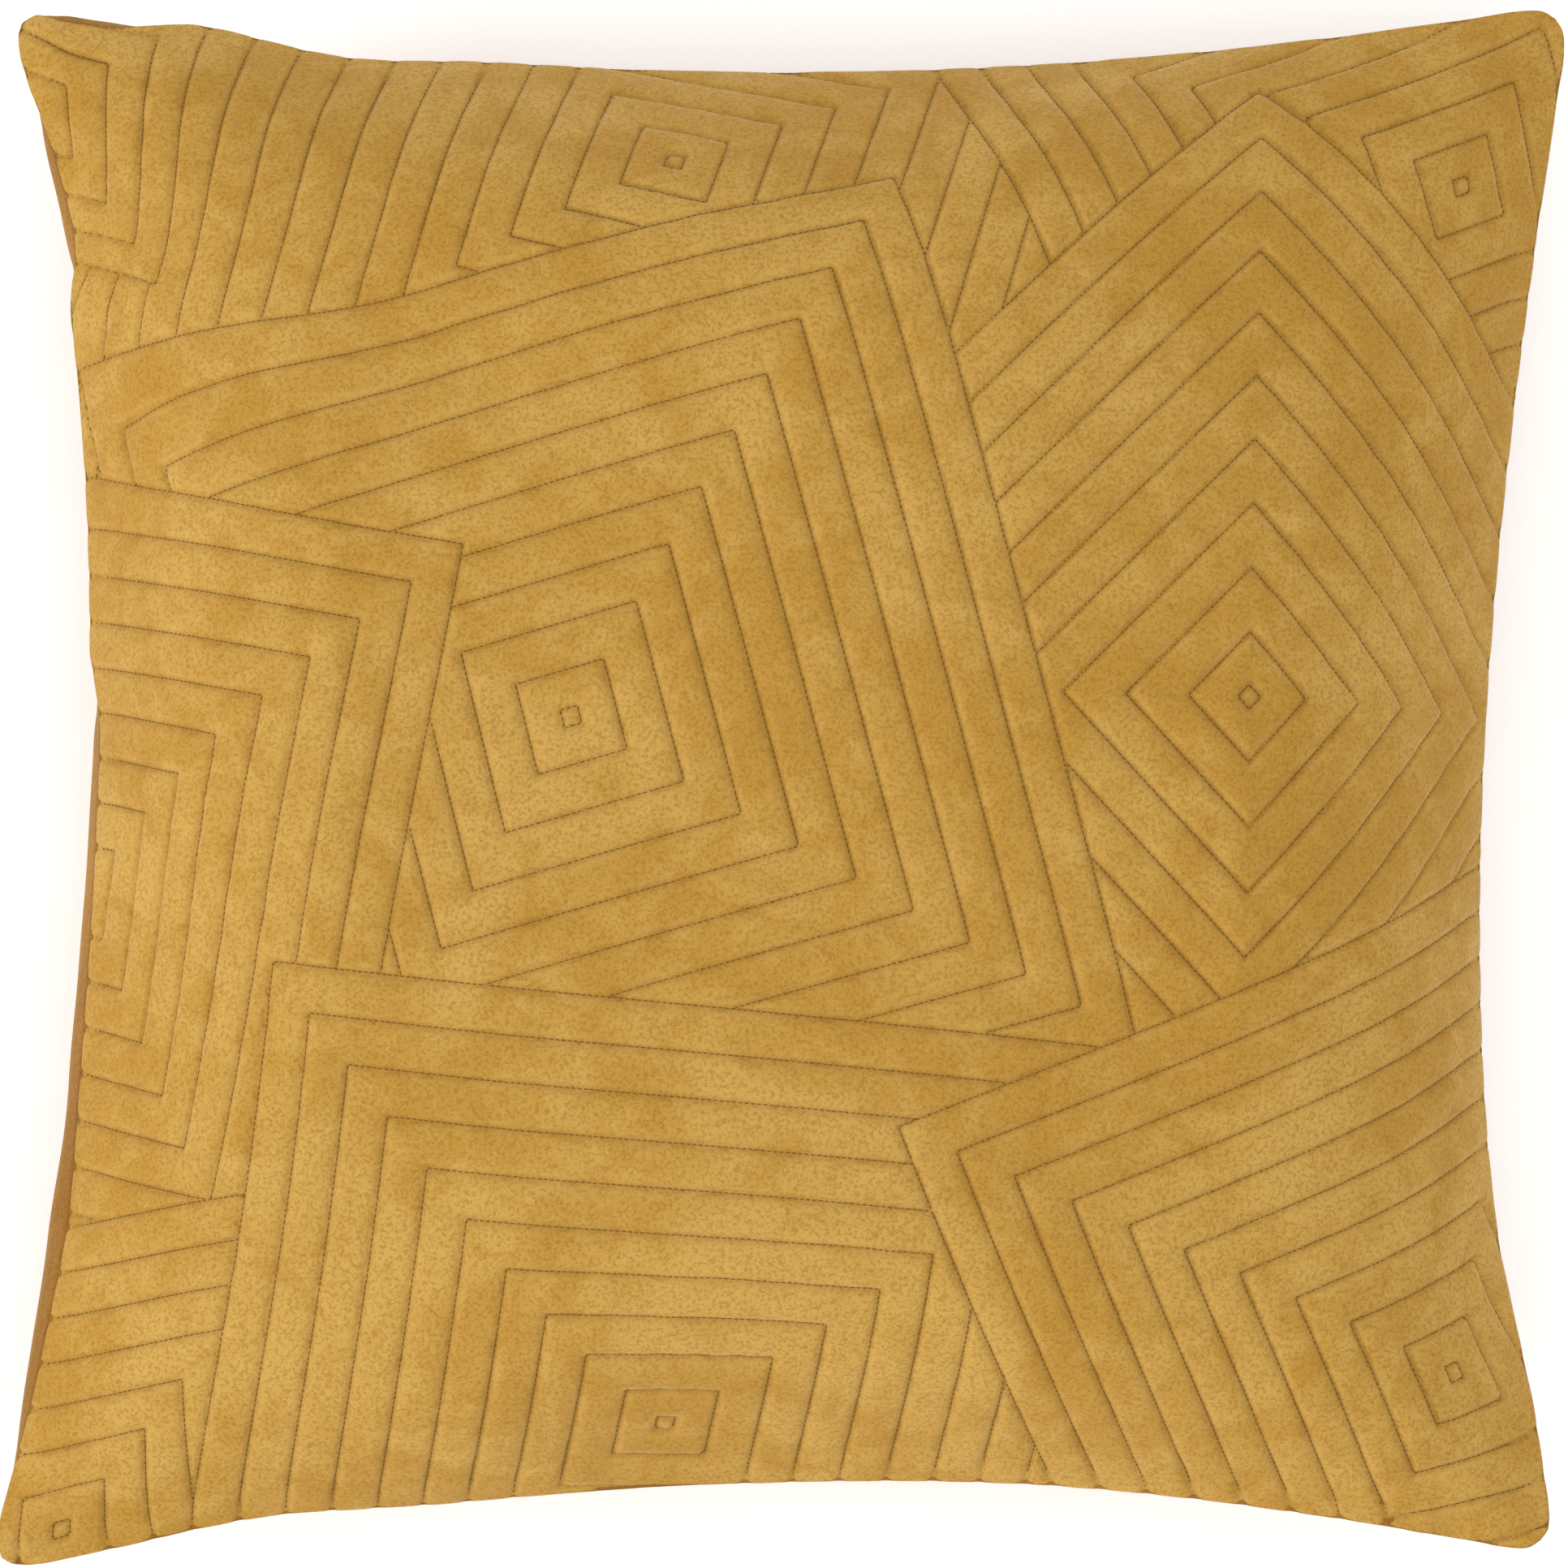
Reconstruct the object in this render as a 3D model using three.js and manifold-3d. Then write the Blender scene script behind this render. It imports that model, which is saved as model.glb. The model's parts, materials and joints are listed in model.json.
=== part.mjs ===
// Square throw pillow: a quilted velvet cover closed by a zip in one side, round a stuffed insert.
// It lies on its plain back, so +Z goes up through the quilted front and the zip is in the -Y side.
// Millimetres. The origin is at the middle of the flat underside.
import * as THREE from 'three';
import { mergeVertices } from 'three/addons/utils/BufferGeometryUtils.js';
import Module from 'manifold-3d';

// the filled cover: corner to corner before the corners are rounded, and how far each side is
// pulled in at its middle
const WIDTH = 493;
const HEIGHT = 488;
const PULL_IN_SIDES = 29.5;
const PULL_IN_ENDS = 25.5;
const CORNER_RADIUS = 9;

// upwards: where the seam runs, how high the front swells, how far the back would sag if it hung free
const SEAM_Z = 64;
const CROWN = 86;
const SAG = 88;
const SWELL = 0.55;

// thickness of each layer, the air between layers, and the turned-in edges along the seams
const GAP = 0.3;
const VELVET = 2;
const WADDING = 6;
const BACKING = 1;
const TICKING = 1;
const LAYER_GAP = 0.5;
const HEM = 1;
const HEM_WIDTH = 6;
const INSERT_INSET = 19;
const INSERT_EASE_TOP = 1.4;
const INSERT_EASE_BACK = 3;

// sewing thread in the cover's seam
const THREAD = 0.6;
const SEAM_STITCH_INSET = 3;
const SEAM_THREAD_STOP = 14;

// zip: length, then each part's place inwards from the edge and upwards from the seam
const ZIP_LENGTH = 380;
const TAPE_INSET = 9;
const TAPE_THICKNESS = 0.5;
const TAPE_NEAR_Z = 0.9;
const TAPE_FAR_Z = 8.6;
const COIL_DEPTH = 1.3;
const COIL_NEAR_Z = 0.6;
const COIL_FAR_Z = 2.4;
const STITCH_Z = 6.6;
const STOP_LENGTH = 3;

// room left in the cover: over the slider, past each end for the pull, round the tapes, and outside the edge
const MOUTH_ROOM = 0.4;
const MOUTH_END_ROOM = 16;
const POCKET_ROOM = 0.6;
const MOUTH_OUTSIDE = 12;

// slider and its pull
const SLIDER_LENGTH = 11;
const SLIDER_HALF_HEIGHT = 4;
const SLIDER_PLATE = 1;
const SLIDER_ROOM = 0.5;
const SLIDER_RIM = 0.6;
const POST_LENGTH = 3.5;
const POST_THICKNESS = 0.6;
const PIVOT_INSET = 4;
const PIVOT_RADIUS = 0.5;
const EYE_RADIUS = 1.3;
const EYE_HOLE_RADIUS = 0.8;
const EYE_HEIGHT = 3;
const EAR_THICKNESS = 0.8;
const PULL_LENGTH = 22;
const PULL_WIDTH = 6.4;
const PULL_THICKNESS = 1;

// blank care label inside the left side
const LABEL_WIDTH = 30;
const LABEL_LENGTH = 16;
const LABEL_THICKNESS = 0.4;
const LABEL_INSET = 14;
const LABEL_DROP = 10;
const LABEL_TILT = 0.42;

const HALF_WIDTH = WIDTH / 2;
const HALF_HEIGHT = HEIGHT / 2;
const SAMPLES_PER_SIDE = 12;
const RINGS = 6;

const wasm = await Module();
wasm.setup();

const cloth = (color) => new THREE.MeshStandardMaterial({ color, roughness: 0.9, metalness: 0 });
const metal = (color) => new THREE.MeshStandardMaterial({ color, roughness: 0.35, metalness: 1 });
const VELVET_COLOUR = 0xc8963f;
const THREAD_COLOUR = 0xb07a28;
const TAPE_COLOUR = 0xa8762b;
const WHITE_CLOTH = 0xe9e4d8;
const BRASS_COLOUR = 0xa98a4a;

// ---------------------------------------------------------------- solids and meshes

function closedGeometry(source) {
  const bare = source.index ? source.toNonIndexed() : source.clone();
  bare.deleteAttribute('normal');
  bare.deleteAttribute('uv');
  const merged = mergeVertices(bare, 1e-4);
  const corners = merged.index.array;
  const kept = [];
  for (let i = 0; i < corners.length; i += 3) {
    const [a, b, c] = [corners[i], corners[i + 1], corners[i + 2]];
    if (a !== b && b !== c && c !== a) kept.push(a, b, c);
  }
  merged.setIndex(signedVolume(merged.attributes.position, kept) < 0 ? kept.reverse() : kept);
  return merged;
}

function signedVolume(position, corners) {
  const [a, b, c] = [new THREE.Vector3(), new THREE.Vector3(), new THREE.Vector3()];
  let volume = 0;
  for (let i = 0; i < corners.length; i += 3) {
    a.fromBufferAttribute(position, corners[i]);
    b.fromBufferAttribute(position, corners[i + 1]);
    c.fromBufferAttribute(position, corners[i + 2]);
    volume += a.dot(b.cross(c)) / 6;
  }
  return volume;
}

function solid(source) {
  const geometry = closedGeometry(source);
  return new wasm.Manifold(new wasm.Mesh({
    numProp: 3,
    vertProperties: Float32Array.from(geometry.attributes.position.array),
    triVerts: Uint32Array.from(geometry.index.array),
  }));
}

function geometryOf(body) {
  const { vertProperties, triVerts } = body.getMesh();
  const geometry = new THREE.BufferGeometry();
  geometry.setAttribute('position', new THREE.BufferAttribute(vertProperties, 3));
  geometry.setIndex(new THREE.BufferAttribute(triVerts, 1));
  return geometry;
}

function mesh(name, geometry, material) {
  const closed = closedGeometry(geometry);
  closed.computeVertexNormals();
  const piece = new THREE.Mesh(closed, material);
  piece.name = name;
  return piece;
}

// ---------------------------------------------------------------- the pillow's shape

// a side pulled in by `sagitta` between corners 2 * half apart is an arc of this radius
function arcRadius(half, sagitta) {
  return (half * half + sagitta * sagitta) / (2 * sagitta);
}

// how far that side stands in from the corner line at `fraction` of its half length
function pullIn(fraction, half, sagitta) {
  const radius = arcRadius(half, sagitta);
  return Math.sqrt(radius ** 2 - (fraction * half) ** 2) - (radius - sagitta);
}

// sample k of the outline as a point on the unit square, closer together near the corners
function outlinePoint(k) {
  const side = Math.floor(k / SAMPLES_PER_SIDE) % 4;
  const along = Math.sin(Math.PI * ((k % SAMPLES_PER_SIDE) / SAMPLES_PER_SIDE - 0.5));
  return [[1, along], [-along, 1], [-1, -along], [along, -1]][side];
}

// a point in plan: `ring` runs from 0 at the middle to 1 at the edge, `inset` moves the edge inwards
function planPoint([edgeU, edgeV], ring, inset) {
  const cornerScale = 1 - (1 - Math.SQRT1_2) * CORNER_RADIUS / HALF_WIDTH;
  const power = -Math.LN2 / Math.log(cornerScale);
  const roundCorner = (Math.abs(edgeU) ** power + Math.abs(edgeV) ** power) ** (-1 / power);
  const u = ring * edgeU * roundCorner;
  const v = ring * edgeV * roundCorner;
  return [
    u * (HALF_WIDTH - inset - pullIn(v, HALF_HEIGHT, PULL_IN_SIDES)),
    v * (HALF_HEIGHT - inset - pullIn(u, HALF_WIDTH, PULL_IN_ENDS)),
  ];
}

// share of the full swell at a point of the plan: 1 in the middle, 0 all round the edge
function swell([edgeU, edgeV], ring) {
  return ((1 - (ring * edgeU) ** 2) * (1 - (ring * edgeV) ** 2)) ** SWELL;
}

// a layer's surface `drop` under the front skin, which starts `rim` above the seam
const frontSkin = (drop, rim) => (share) => SEAM_Z + rim + (CROWN - drop - rim) * share;

// a layer's surface `drop` over the back skin, pressed flat where the pillow lies on it
const backSkin = (drop, rim) => (share) => Math.max(drop, SEAM_Z - rim - (SAG - drop - rim) * share);

// rings of one surface from the middle out; each step of a profile is { ring, inset, z(share) }
function skinSteps(inset, z) {
  return Array.from({ length: RINGS + 1 }, (_, k) => ({
    ring: Math.sin(Math.PI / 2 * k / RINGS),
    inset,
    z,
  }));
}

const edgeStep = (inset, z) => ({ ring: 1, inset, z: () => z });

// a closed body from a profile that starts and ends at the middle: a lathe drawn out to the square plan
function pillowBody(profile) {
  const points = profile.map(({ ring }, step) => new THREE.Vector2(ring, step));
  const segments = 4 * SAMPLES_PER_SIDE;
  const geometry = new THREE.LatheGeometry(points, segments);
  const corner = (k, step) => k * profile.length + step;
  const index = [];
  for (let k = 0; k <= segments; k += 1) {
    const edge = outlinePoint(k);
    profile.forEach(({ ring, inset, z }, step) => {
      const [x, y] = planPoint(edge, ring, inset);
      geometry.attributes.position.setXYZ(corner(k, step), x, y, z(swell(edge, ring)));
      if (k === segments || step === profile.length - 1) return;
      const quad = [corner(k, step), corner(k + 1, step), corner(k + 1, step + 1), corner(k, step + 1)];
      // outward and inward runs are split along the same diagonal, so nested layers stay parallel
      if (ring > profile[step + 1].ring) quad.push(quad.shift());
      index.push(quad[0], quad[1], quad[3], quad[1], quad[2], quad[3]);
    });
  }
  geometry.setIndex(index);
  return geometry;
}

// a shell between an outer and an inner surface, with the given steps along its open edge between them
function shell(skin, outer, inner, edge = []) {
  return pillowBody([
    ...skinSteps(outer.inset, skin(outer.drop, outer.rim)),
    ...edge,
    ...skinSteps(inner.inset, skin(inner.drop, inner.rim)).reverse(),
  ]);
}

// the surface one thickness further in, and `lower` nearer the seam at its edge
function further({ inset, drop, rim }, distance, lower = 0) {
  return { inset: inset + distance, drop: drop + distance, rim: rim - lower };
}

// ---------------------------------------------------------------- bars that follow a side

// each side as an arc: where its centre is, its radius at the edge, and which way it looks
const SIDES = {
  right: { half: HALF_HEIGHT, sagitta: PULL_IN_SIDES, reach: HALF_WIDTH, turn: -Math.PI / 2 },
  top: { half: HALF_WIDTH, sagitta: PULL_IN_ENDS, reach: HALF_HEIGHT, turn: 0 },
  left: { half: HALF_HEIGHT, sagitta: PULL_IN_SIDES, reach: HALF_WIDTH, turn: Math.PI / 2 },
  bottom: { half: HALF_WIDTH, sagitta: PULL_IN_ENDS, reach: HALF_HEIGHT, turn: Math.PI },
};

function sideArc({ half, sagitta, reach }) {
  const radius = arcRadius(half, sagitta);
  return { radius, centreY: reach - sagitta + radius };
}

// a bar along a side between two insets, two heights, and two places counted from the side's middle
function sideBar(side, [insetA, insetB], [zA, zB], [fromX, toX], segments = 16) {
  const { radius, centreY } = sideArc(side);
  const start = -Math.PI / 2 + fromX / radius;
  const end = -Math.PI / 2 + toX / radius;
  const outline = new THREE.Shape();
  outline.absarc(0, centreY, radius + insetA, start, end, false);
  outline.absarc(0, centreY, radius + insetB, end, start, true);
  const bar = new THREE.ExtrudeGeometry(outline, {
    depth: zB - zA,
    bevelEnabled: false,
    curveSegments: segments,
  });
  bar.translate(0, 0, SEAM_Z + zA);
  bar.rotateZ(side.turn);
  return bar;
}

// ---------------------------------------------------------------- zip

// the bottom side is turned half round, so places along the zip count from the shut end at +X towards -X
const ZIP_SIDE = SIDES.bottom;
const ZIP_HALF = ZIP_LENGTH / 2;
const COIL_INSETS = [TAPE_INSET - GAP - COIL_DEPTH, TAPE_INSET - GAP];
const SLIDER_BACK = TAPE_INSET + TAPE_THICKNESS + SLIDER_ROOM;
const SHUT_PLACE = ZIP_HALF - STOP_LENGTH - SLIDER_LENGTH / 2 - SLIDER_ROOM;

// one half of the zip above (+1) or below (-1) the seam
const zipBand = (side, near, far) => (side > 0 ? [near, far] : [-far, -near]);

function zipTape(side) {
  const insets = [TAPE_INSET, TAPE_INSET + TAPE_THICKNESS];
  return sideBar(ZIP_SIDE, insets, zipBand(side, TAPE_NEAR_Z, TAPE_FAR_Z), [-ZIP_HALF, ZIP_HALF]);
}

function zipCoil(side) {
  const span = [-ZIP_HALF + STOP_LENGTH + GAP, ZIP_HALF - STOP_LENGTH - GAP];
  return sideBar(ZIP_SIDE, COIL_INSETS, zipBand(side, COIL_NEAR_Z, COIL_FAR_Z), span);
}

function zipStitch(side) {
  const near = TAPE_INSET + TAPE_THICKNESS + GAP;
  const band = zipBand(side, STITCH_Z, STITCH_Z + THREAD);
  return sideBar(ZIP_SIDE, [near, near + THREAD], band, [-ZIP_HALF, ZIP_HALF]);
}

function topStop(side) {
  const span = [-ZIP_HALF, -ZIP_HALF + STOP_LENGTH];
  return sideBar(ZIP_SIDE, COIL_INSETS, zipBand(side, COIL_NEAR_Z, COIL_FAR_Z), span, 1);
}

function bottomStop() {
  return sideBar(ZIP_SIDE, COIL_INSETS, [-COIL_FAR_Z, COIL_FAR_Z], [ZIP_HALF - STOP_LENGTH, ZIP_HALF], 1);
}

// the slit in the seam that the slider runs in, and the room behind it for the tapes
function zipRoom(halfHeight) {
  const half = ZIP_HALF + MOUTH_END_ROOM;
  const insets = [-MOUTH_OUTSIDE, SLIDER_BACK + SLIDER_PLATE + POCKET_ROOM];
  return solid(sideBar(ZIP_SIDE, insets, [-halfHeight, halfHeight], [-half, half], 8));
}

// a box between two corners in the slider's own frame: x towards the shut end, y inwards, z up
function box([x1, y1, z1], [x2, y2, z2]) {
  const geometry = new THREE.BoxGeometry(x2 - x1, y2 - y1, z2 - z1);
  return solid(geometry.translate((x1 + x2) / 2, (y1 + y2) / 2, (z1 + z2) / 2));
}

// front plate with rims round the coils, back plate behind the tapes, the post that joins them,
// and two ears with the bar that carries the pull
function sliderBody() {
  const end = SLIDER_LENGTH / 2;
  const top = SLIDER_HALF_HEIGHT;
  const frontIn = COIL_INSETS[0] - SLIDER_ROOM;
  const frontOut = frontIn - SLIDER_PLATE;
  const backIn = SLIDER_BACK + SLIDER_PLATE;
  const rimEnd = TAPE_INSET - SLIDER_ROOM;
  let body = box([-end, frontOut, -top], [end, frontIn, top]);
  body = body.add(box([-end, SLIDER_BACK, -top], [end, backIn, top]));
  body = body.add(box([end - POST_LENGTH, frontOut, -POST_THICKNESS / 2], [end, backIn, POST_THICKNESS / 2]));
  for (const side of [-1, 1]) {
    const [low, high] = zipBand(side, top - SLIDER_RIM, top);
    body = body.add(box([-end, frontOut, low], [end, rimEnd, high]));
    const [earLow, earHigh] = zipBand(side, EYE_HEIGHT / 2 + GAP, EYE_HEIGHT / 2 + GAP + EAR_THICKNESS);
    body = body.add(box([-EYE_RADIUS, PIVOT_INSET - EYE_HOLE_RADIUS, earLow], [EYE_RADIUS, frontIn, earHigh]));
  }
  const bar = new THREE.CylinderGeometry(PIVOT_RADIUS, PIVOT_RADIUS, EYE_HEIGHT + 2 * GAP + EAR_THICKNESS, 16);
  bar.rotateX(Math.PI / 2);
  bar.translate(0, PIVOT_INSET, 0);
  return body.add(solid(bar));
}

// a flat tongue with a rounded end and a finger hole, and the eye that turns on the slider's bar
function pullBody() {
  const neck = EYE_HEIGHT / 2;
  const half = PULL_WIDTH / 2;
  const tongue = new THREE.Shape();
  tongue.moveTo(EYE_RADIUS - PIVOT_RADIUS / 2, -neck);
  tongue.lineTo(2 * EYE_RADIUS, -neck);
  tongue.lineTo(2 * EYE_RADIUS + half - neck, -half);
  tongue.lineTo(PULL_LENGTH - half, -half);
  tongue.absarc(PULL_LENGTH - half, 0, half, -Math.PI / 2, Math.PI / 2, false);
  tongue.lineTo(2 * EYE_RADIUS + half - neck, half);
  tongue.lineTo(2 * EYE_RADIUS, neck);
  tongue.lineTo(EYE_RADIUS - PIVOT_RADIUS / 2, neck);
  const fingerHole = new THREE.Path();
  fingerHole.absarc(PULL_LENGTH - half, 0, half / 2, 0, 2 * Math.PI, true);
  tongue.holes.push(fingerHole);
  const plate = new THREE.ExtrudeGeometry(tongue, {
    depth: PULL_THICKNESS,
    bevelEnabled: false,
    curveSegments: 10,
  });
  plate.translate(0, 0, -PULL_THICKNESS / 2);
  plate.rotateX(Math.PI / 2);
  plate.rotateZ(Math.PI);

  const ring = new THREE.Shape();
  ring.absarc(0, 0, EYE_RADIUS, 0, 2 * Math.PI, false);
  const hole = new THREE.Path();
  hole.absarc(0, 0, EYE_HOLE_RADIUS, 0, 2 * Math.PI, true);
  ring.holes.push(hole);
  const eye = new THREE.ExtrudeGeometry(ring, { depth: EYE_HEIGHT, bevelEnabled: false, curveSegments: 12 });
  eye.translate(0, 0, -EYE_HEIGHT / 2);
  return solid(plate).add(solid(eye));
}

// puts pieces made in the slider's frame on the zip's arc, at its shut end
function atShutEnd(...pieces) {
  const { radius, centreY } = sideArc(ZIP_SIDE);
  const swing = new THREE.Group();
  swing.position.set(0, -centreY, SEAM_Z);
  swing.rotation.z = -SHUT_PLACE / radius;
  for (const piece of pieces) {
    piece.position.set(0, radius, 0);
    swing.add(piece);
  }
  return swing;
}

// ---------------------------------------------------------------- every piece

// the surfaces of each layer, from the velvet inwards
const OUTSIDE = { inset: 0, drop: 0, rim: GAP / 2 };
const LINING = { inset: VELVET, drop: VELVET, rim: GAP / 2 + HEM };
const WADDING_TOP = { inset: HEM_WIDTH + LAYER_GAP, drop: VELVET + LAYER_GAP, rim: GAP / 2 + LAYER_GAP };
const WADDING_UNDER = further(WADDING_TOP, WADDING, LAYER_GAP);
const BACKING_TOP = further(WADDING_UNDER, LAYER_GAP, LAYER_GAP);
const BACKING_UNDER = further(BACKING_TOP, BACKING, LAYER_GAP);
const INSERT_FRONT = { inset: INSERT_INSET, drop: BACKING_UNDER.drop + INSERT_EASE_TOP, rim: GAP / 2 };
const INSERT_BACK = { inset: INSERT_INSET, drop: VELVET + INSERT_EASE_BACK, rim: GAP / 2 };
const STUFFING_DEPTH = TICKING + LAYER_GAP;

function seamSpans() {
  const zipEnd = ZIP_HALF + MOUTH_END_ROOM + 1;
  const full = HALF_WIDTH - SEAM_THREAD_STOP;
  const tall = HALF_HEIGHT - SEAM_THREAD_STOP;
  return [
    ['seam_thread_top', SIDES.top, [-full, full]],
    ['seam_thread_left', SIDES.left, [-tall, tall]],
    ['seam_thread_right', SIDES.right, [-tall, tall]],
    ['seam_thread_bottom_right', SIDES.bottom, [-full, -zipEnd]],
    ['seam_thread_bottom_left', SIDES.bottom, [zipEnd, full]],
  ];
}

function seamThread(side, span, room) {
  const insets = [SEAM_STITCH_INSET - room, SEAM_STITCH_INSET + THREAD + room];
  const heights = [-THREAD / 2 - room, THREAD / 2 + room];
  return sideBar(side, insets, heights, [span[0] - room, span[1] + room], 10);
}

// one velvet panel with its hem turned in, grooved for the seam's thread and open where the zip runs
function coverHalf(skin, side) {
  const rim = SEAM_Z + side * GAP / 2;
  const hem = [edgeStep(HEM_WIDTH, rim), edgeStep(HEM_WIDTH, rim + side * HEM)];
  let body = solid(shell(skin, OUTSIDE, LINING, hem));
  for (const [, arc, span] of seamSpans()) body = body.subtract(solid(seamThread(arc, span, GAP)));
  return geometryOf(body.subtract(zipRoom(SLIDER_HALF_HEIGHT + MOUTH_ROOM)));
}

function quiltedLayer(top, under) {
  return geometryOf(solid(shell(frontSkin, top, under)).subtract(zipRoom(TAPE_FAR_Z + POCKET_ROOM)));
}

// the stuffing meets in a soft edge at the insert's seam
function stuffing() {
  const top = frontSkin(INSERT_FRONT.drop + STUFFING_DEPTH, 0);
  const under = backSkin(INSERT_BACK.drop + STUFFING_DEPTH, 0);
  const inset = INSERT_INSET + STUFFING_DEPTH;
  return pillowBody([...skinSteps(inset, top), ...skinSteps(inset, under).reverse().slice(1)]);
}

function careLabel() {
  const label = new THREE.BoxGeometry(LABEL_THICKNESS, LABEL_WIDTH, LABEL_LENGTH);
  label.rotateY(-LABEL_TILT);
  label.translate(-(HALF_WIDTH - PULL_IN_SIDES - LABEL_INSET), 0, SEAM_Z - LABEL_DROP);
  return label;
}

const pillow = new THREE.Group();

pillow.add(mesh('front_velvet', coverHalf(frontSkin, 1), cloth(VELVET_COLOUR)));
pillow.add(mesh('front_wadding', quiltedLayer(WADDING_TOP, WADDING_UNDER), cloth(WHITE_CLOTH)));
pillow.add(mesh('front_backing_cloth', quiltedLayer(BACKING_TOP, BACKING_UNDER), cloth(WHITE_CLOTH)));
pillow.add(mesh('back_velvet', coverHalf(backSkin, -1), cloth(VELVET_COLOUR)));

for (const [name, side, span] of seamSpans()) {
  pillow.add(mesh(name, seamThread(side, span, 0), cloth(THREAD_COLOUR)));
}

for (const [end, side] of [['front', 1], ['back', -1]]) {
  pillow.add(mesh(`zip_tape_${end}`, zipTape(side), cloth(TAPE_COLOUR)));
  pillow.add(mesh(`zip_coil_${end}`, zipCoil(side), cloth(TAPE_COLOUR)));
  pillow.add(mesh(`zip_stitch_${end}`, zipStitch(side), cloth(THREAD_COLOUR)));
  pillow.add(mesh(`zip_top_stop_${end}`, topStop(side), metal(BRASS_COLOUR)));
}
pillow.add(mesh('zip_bottom_stop', bottomStop(), metal(BRASS_COLOUR)));

const slider = mesh('zip_slider', geometryOf(sliderBody()), metal(BRASS_COLOUR));
const pull = mesh('zip_pull', geometryOf(pullBody().translate([0, PIVOT_INSET, 0])), metal(BRASS_COLOUR));
pillow.add(atShutEnd(slider, pull));

pillow.add(mesh('care_label', careLabel(), cloth(WHITE_CLOTH)));
for (const [end, skin, outer] of [['front', frontSkin, INSERT_FRONT], ['back', backSkin, INSERT_BACK]]) {
  const cover = shell(skin, outer, further(outer, TICKING));
  pillow.add(mesh(`insert_${end}_cover`, cover, cloth(WHITE_CLOTH)));
}
pillow.add(mesh('insert_filling', stuffing(), cloth(WHITE_CLOTH)));

export default pillow;
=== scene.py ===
import json
import math

import bmesh
import bpy
import numpy as np
from mathutils import Matrix, Vector


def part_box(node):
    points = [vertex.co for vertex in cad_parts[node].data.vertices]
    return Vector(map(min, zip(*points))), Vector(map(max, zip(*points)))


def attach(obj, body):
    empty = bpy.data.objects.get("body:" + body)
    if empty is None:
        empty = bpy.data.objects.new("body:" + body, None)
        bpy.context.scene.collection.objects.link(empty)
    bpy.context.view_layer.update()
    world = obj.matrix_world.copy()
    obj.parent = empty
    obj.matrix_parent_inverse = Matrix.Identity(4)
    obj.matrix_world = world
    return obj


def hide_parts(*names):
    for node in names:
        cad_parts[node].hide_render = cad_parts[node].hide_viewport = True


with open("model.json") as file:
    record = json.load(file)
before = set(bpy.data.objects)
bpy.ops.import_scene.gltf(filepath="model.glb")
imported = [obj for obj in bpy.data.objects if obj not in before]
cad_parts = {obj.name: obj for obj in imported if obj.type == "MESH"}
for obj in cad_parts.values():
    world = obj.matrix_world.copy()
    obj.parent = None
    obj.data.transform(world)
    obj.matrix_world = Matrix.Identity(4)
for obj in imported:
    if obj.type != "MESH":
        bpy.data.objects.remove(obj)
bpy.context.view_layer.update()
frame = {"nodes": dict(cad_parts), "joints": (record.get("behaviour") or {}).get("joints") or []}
MM = 0.001

# ------------------------------------------------------------------ the stuffed cover
# Two squares of cloth sewn together at their edges and filled. The filling blows the bag out, and the
# cloth can't stretch, so its sides pull in between the corners; its own weight flattens the underside.

CUT = 500 * MM            # side of each square inside its seams
WEAVE_STEPS = 60          # how many steps the bag is draped in along a side
SEAM_HEIGHT = (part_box("front_velvet")[0].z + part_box("back_velvet")[1].z) / 2
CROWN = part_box("front_velvet")[1].z - SEAM_HEIGHT
SAG = 84 * MM             # how deep the back would hang if nothing held it up
HALF_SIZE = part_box("front_velvet")[1].xy
LEAN = 6.5 * MM           # the cover is sewn a little out of square: its top stands this far right
SHORT_CORNER = 5 * MM     # and its bottom right corner ends this much higher than the left one
CORNER_TUCK = 3.6 * MM    # how far each corner's point is tucked in


def sewn_bag():
    """The empty bag as one mesh, and each corner's place on the flat cloth; z tells front from back."""
    bag = bmesh.new()
    bmesh.ops.create_grid(bag, x_segments=WEAVE_STEPS, y_segments=WEAVE_STEPS, size=CUT / 2)
    for v in bag.verts:
        on_seam = max(abs(v.co.x), abs(v.co.y)) > CUT / 2 - 0.01 * MM
        v.co.z = 0 if on_seam else 4 * MM
    back = bmesh.ops.duplicate(bag, geom=bag.verts[:] + bag.edges[:] + bag.faces[:])["geom"]
    for part in back:
        if isinstance(part, bmesh.types.BMVert):
            part.co.z *= -1
    bmesh.ops.reverse_faces(bag, faces=[p for p in back if isinstance(p, bmesh.types.BMFace)])
    bmesh.ops.remove_doubles(bag, verts=bag.verts[:], dist=0.01 * MM)
    mesh = bpy.data.meshes.new("bag")
    bag.to_mesh(mesh)
    bag.free()
    flat = np.array([v.co for v in mesh.vertices])
    return mesh, flat


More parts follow.
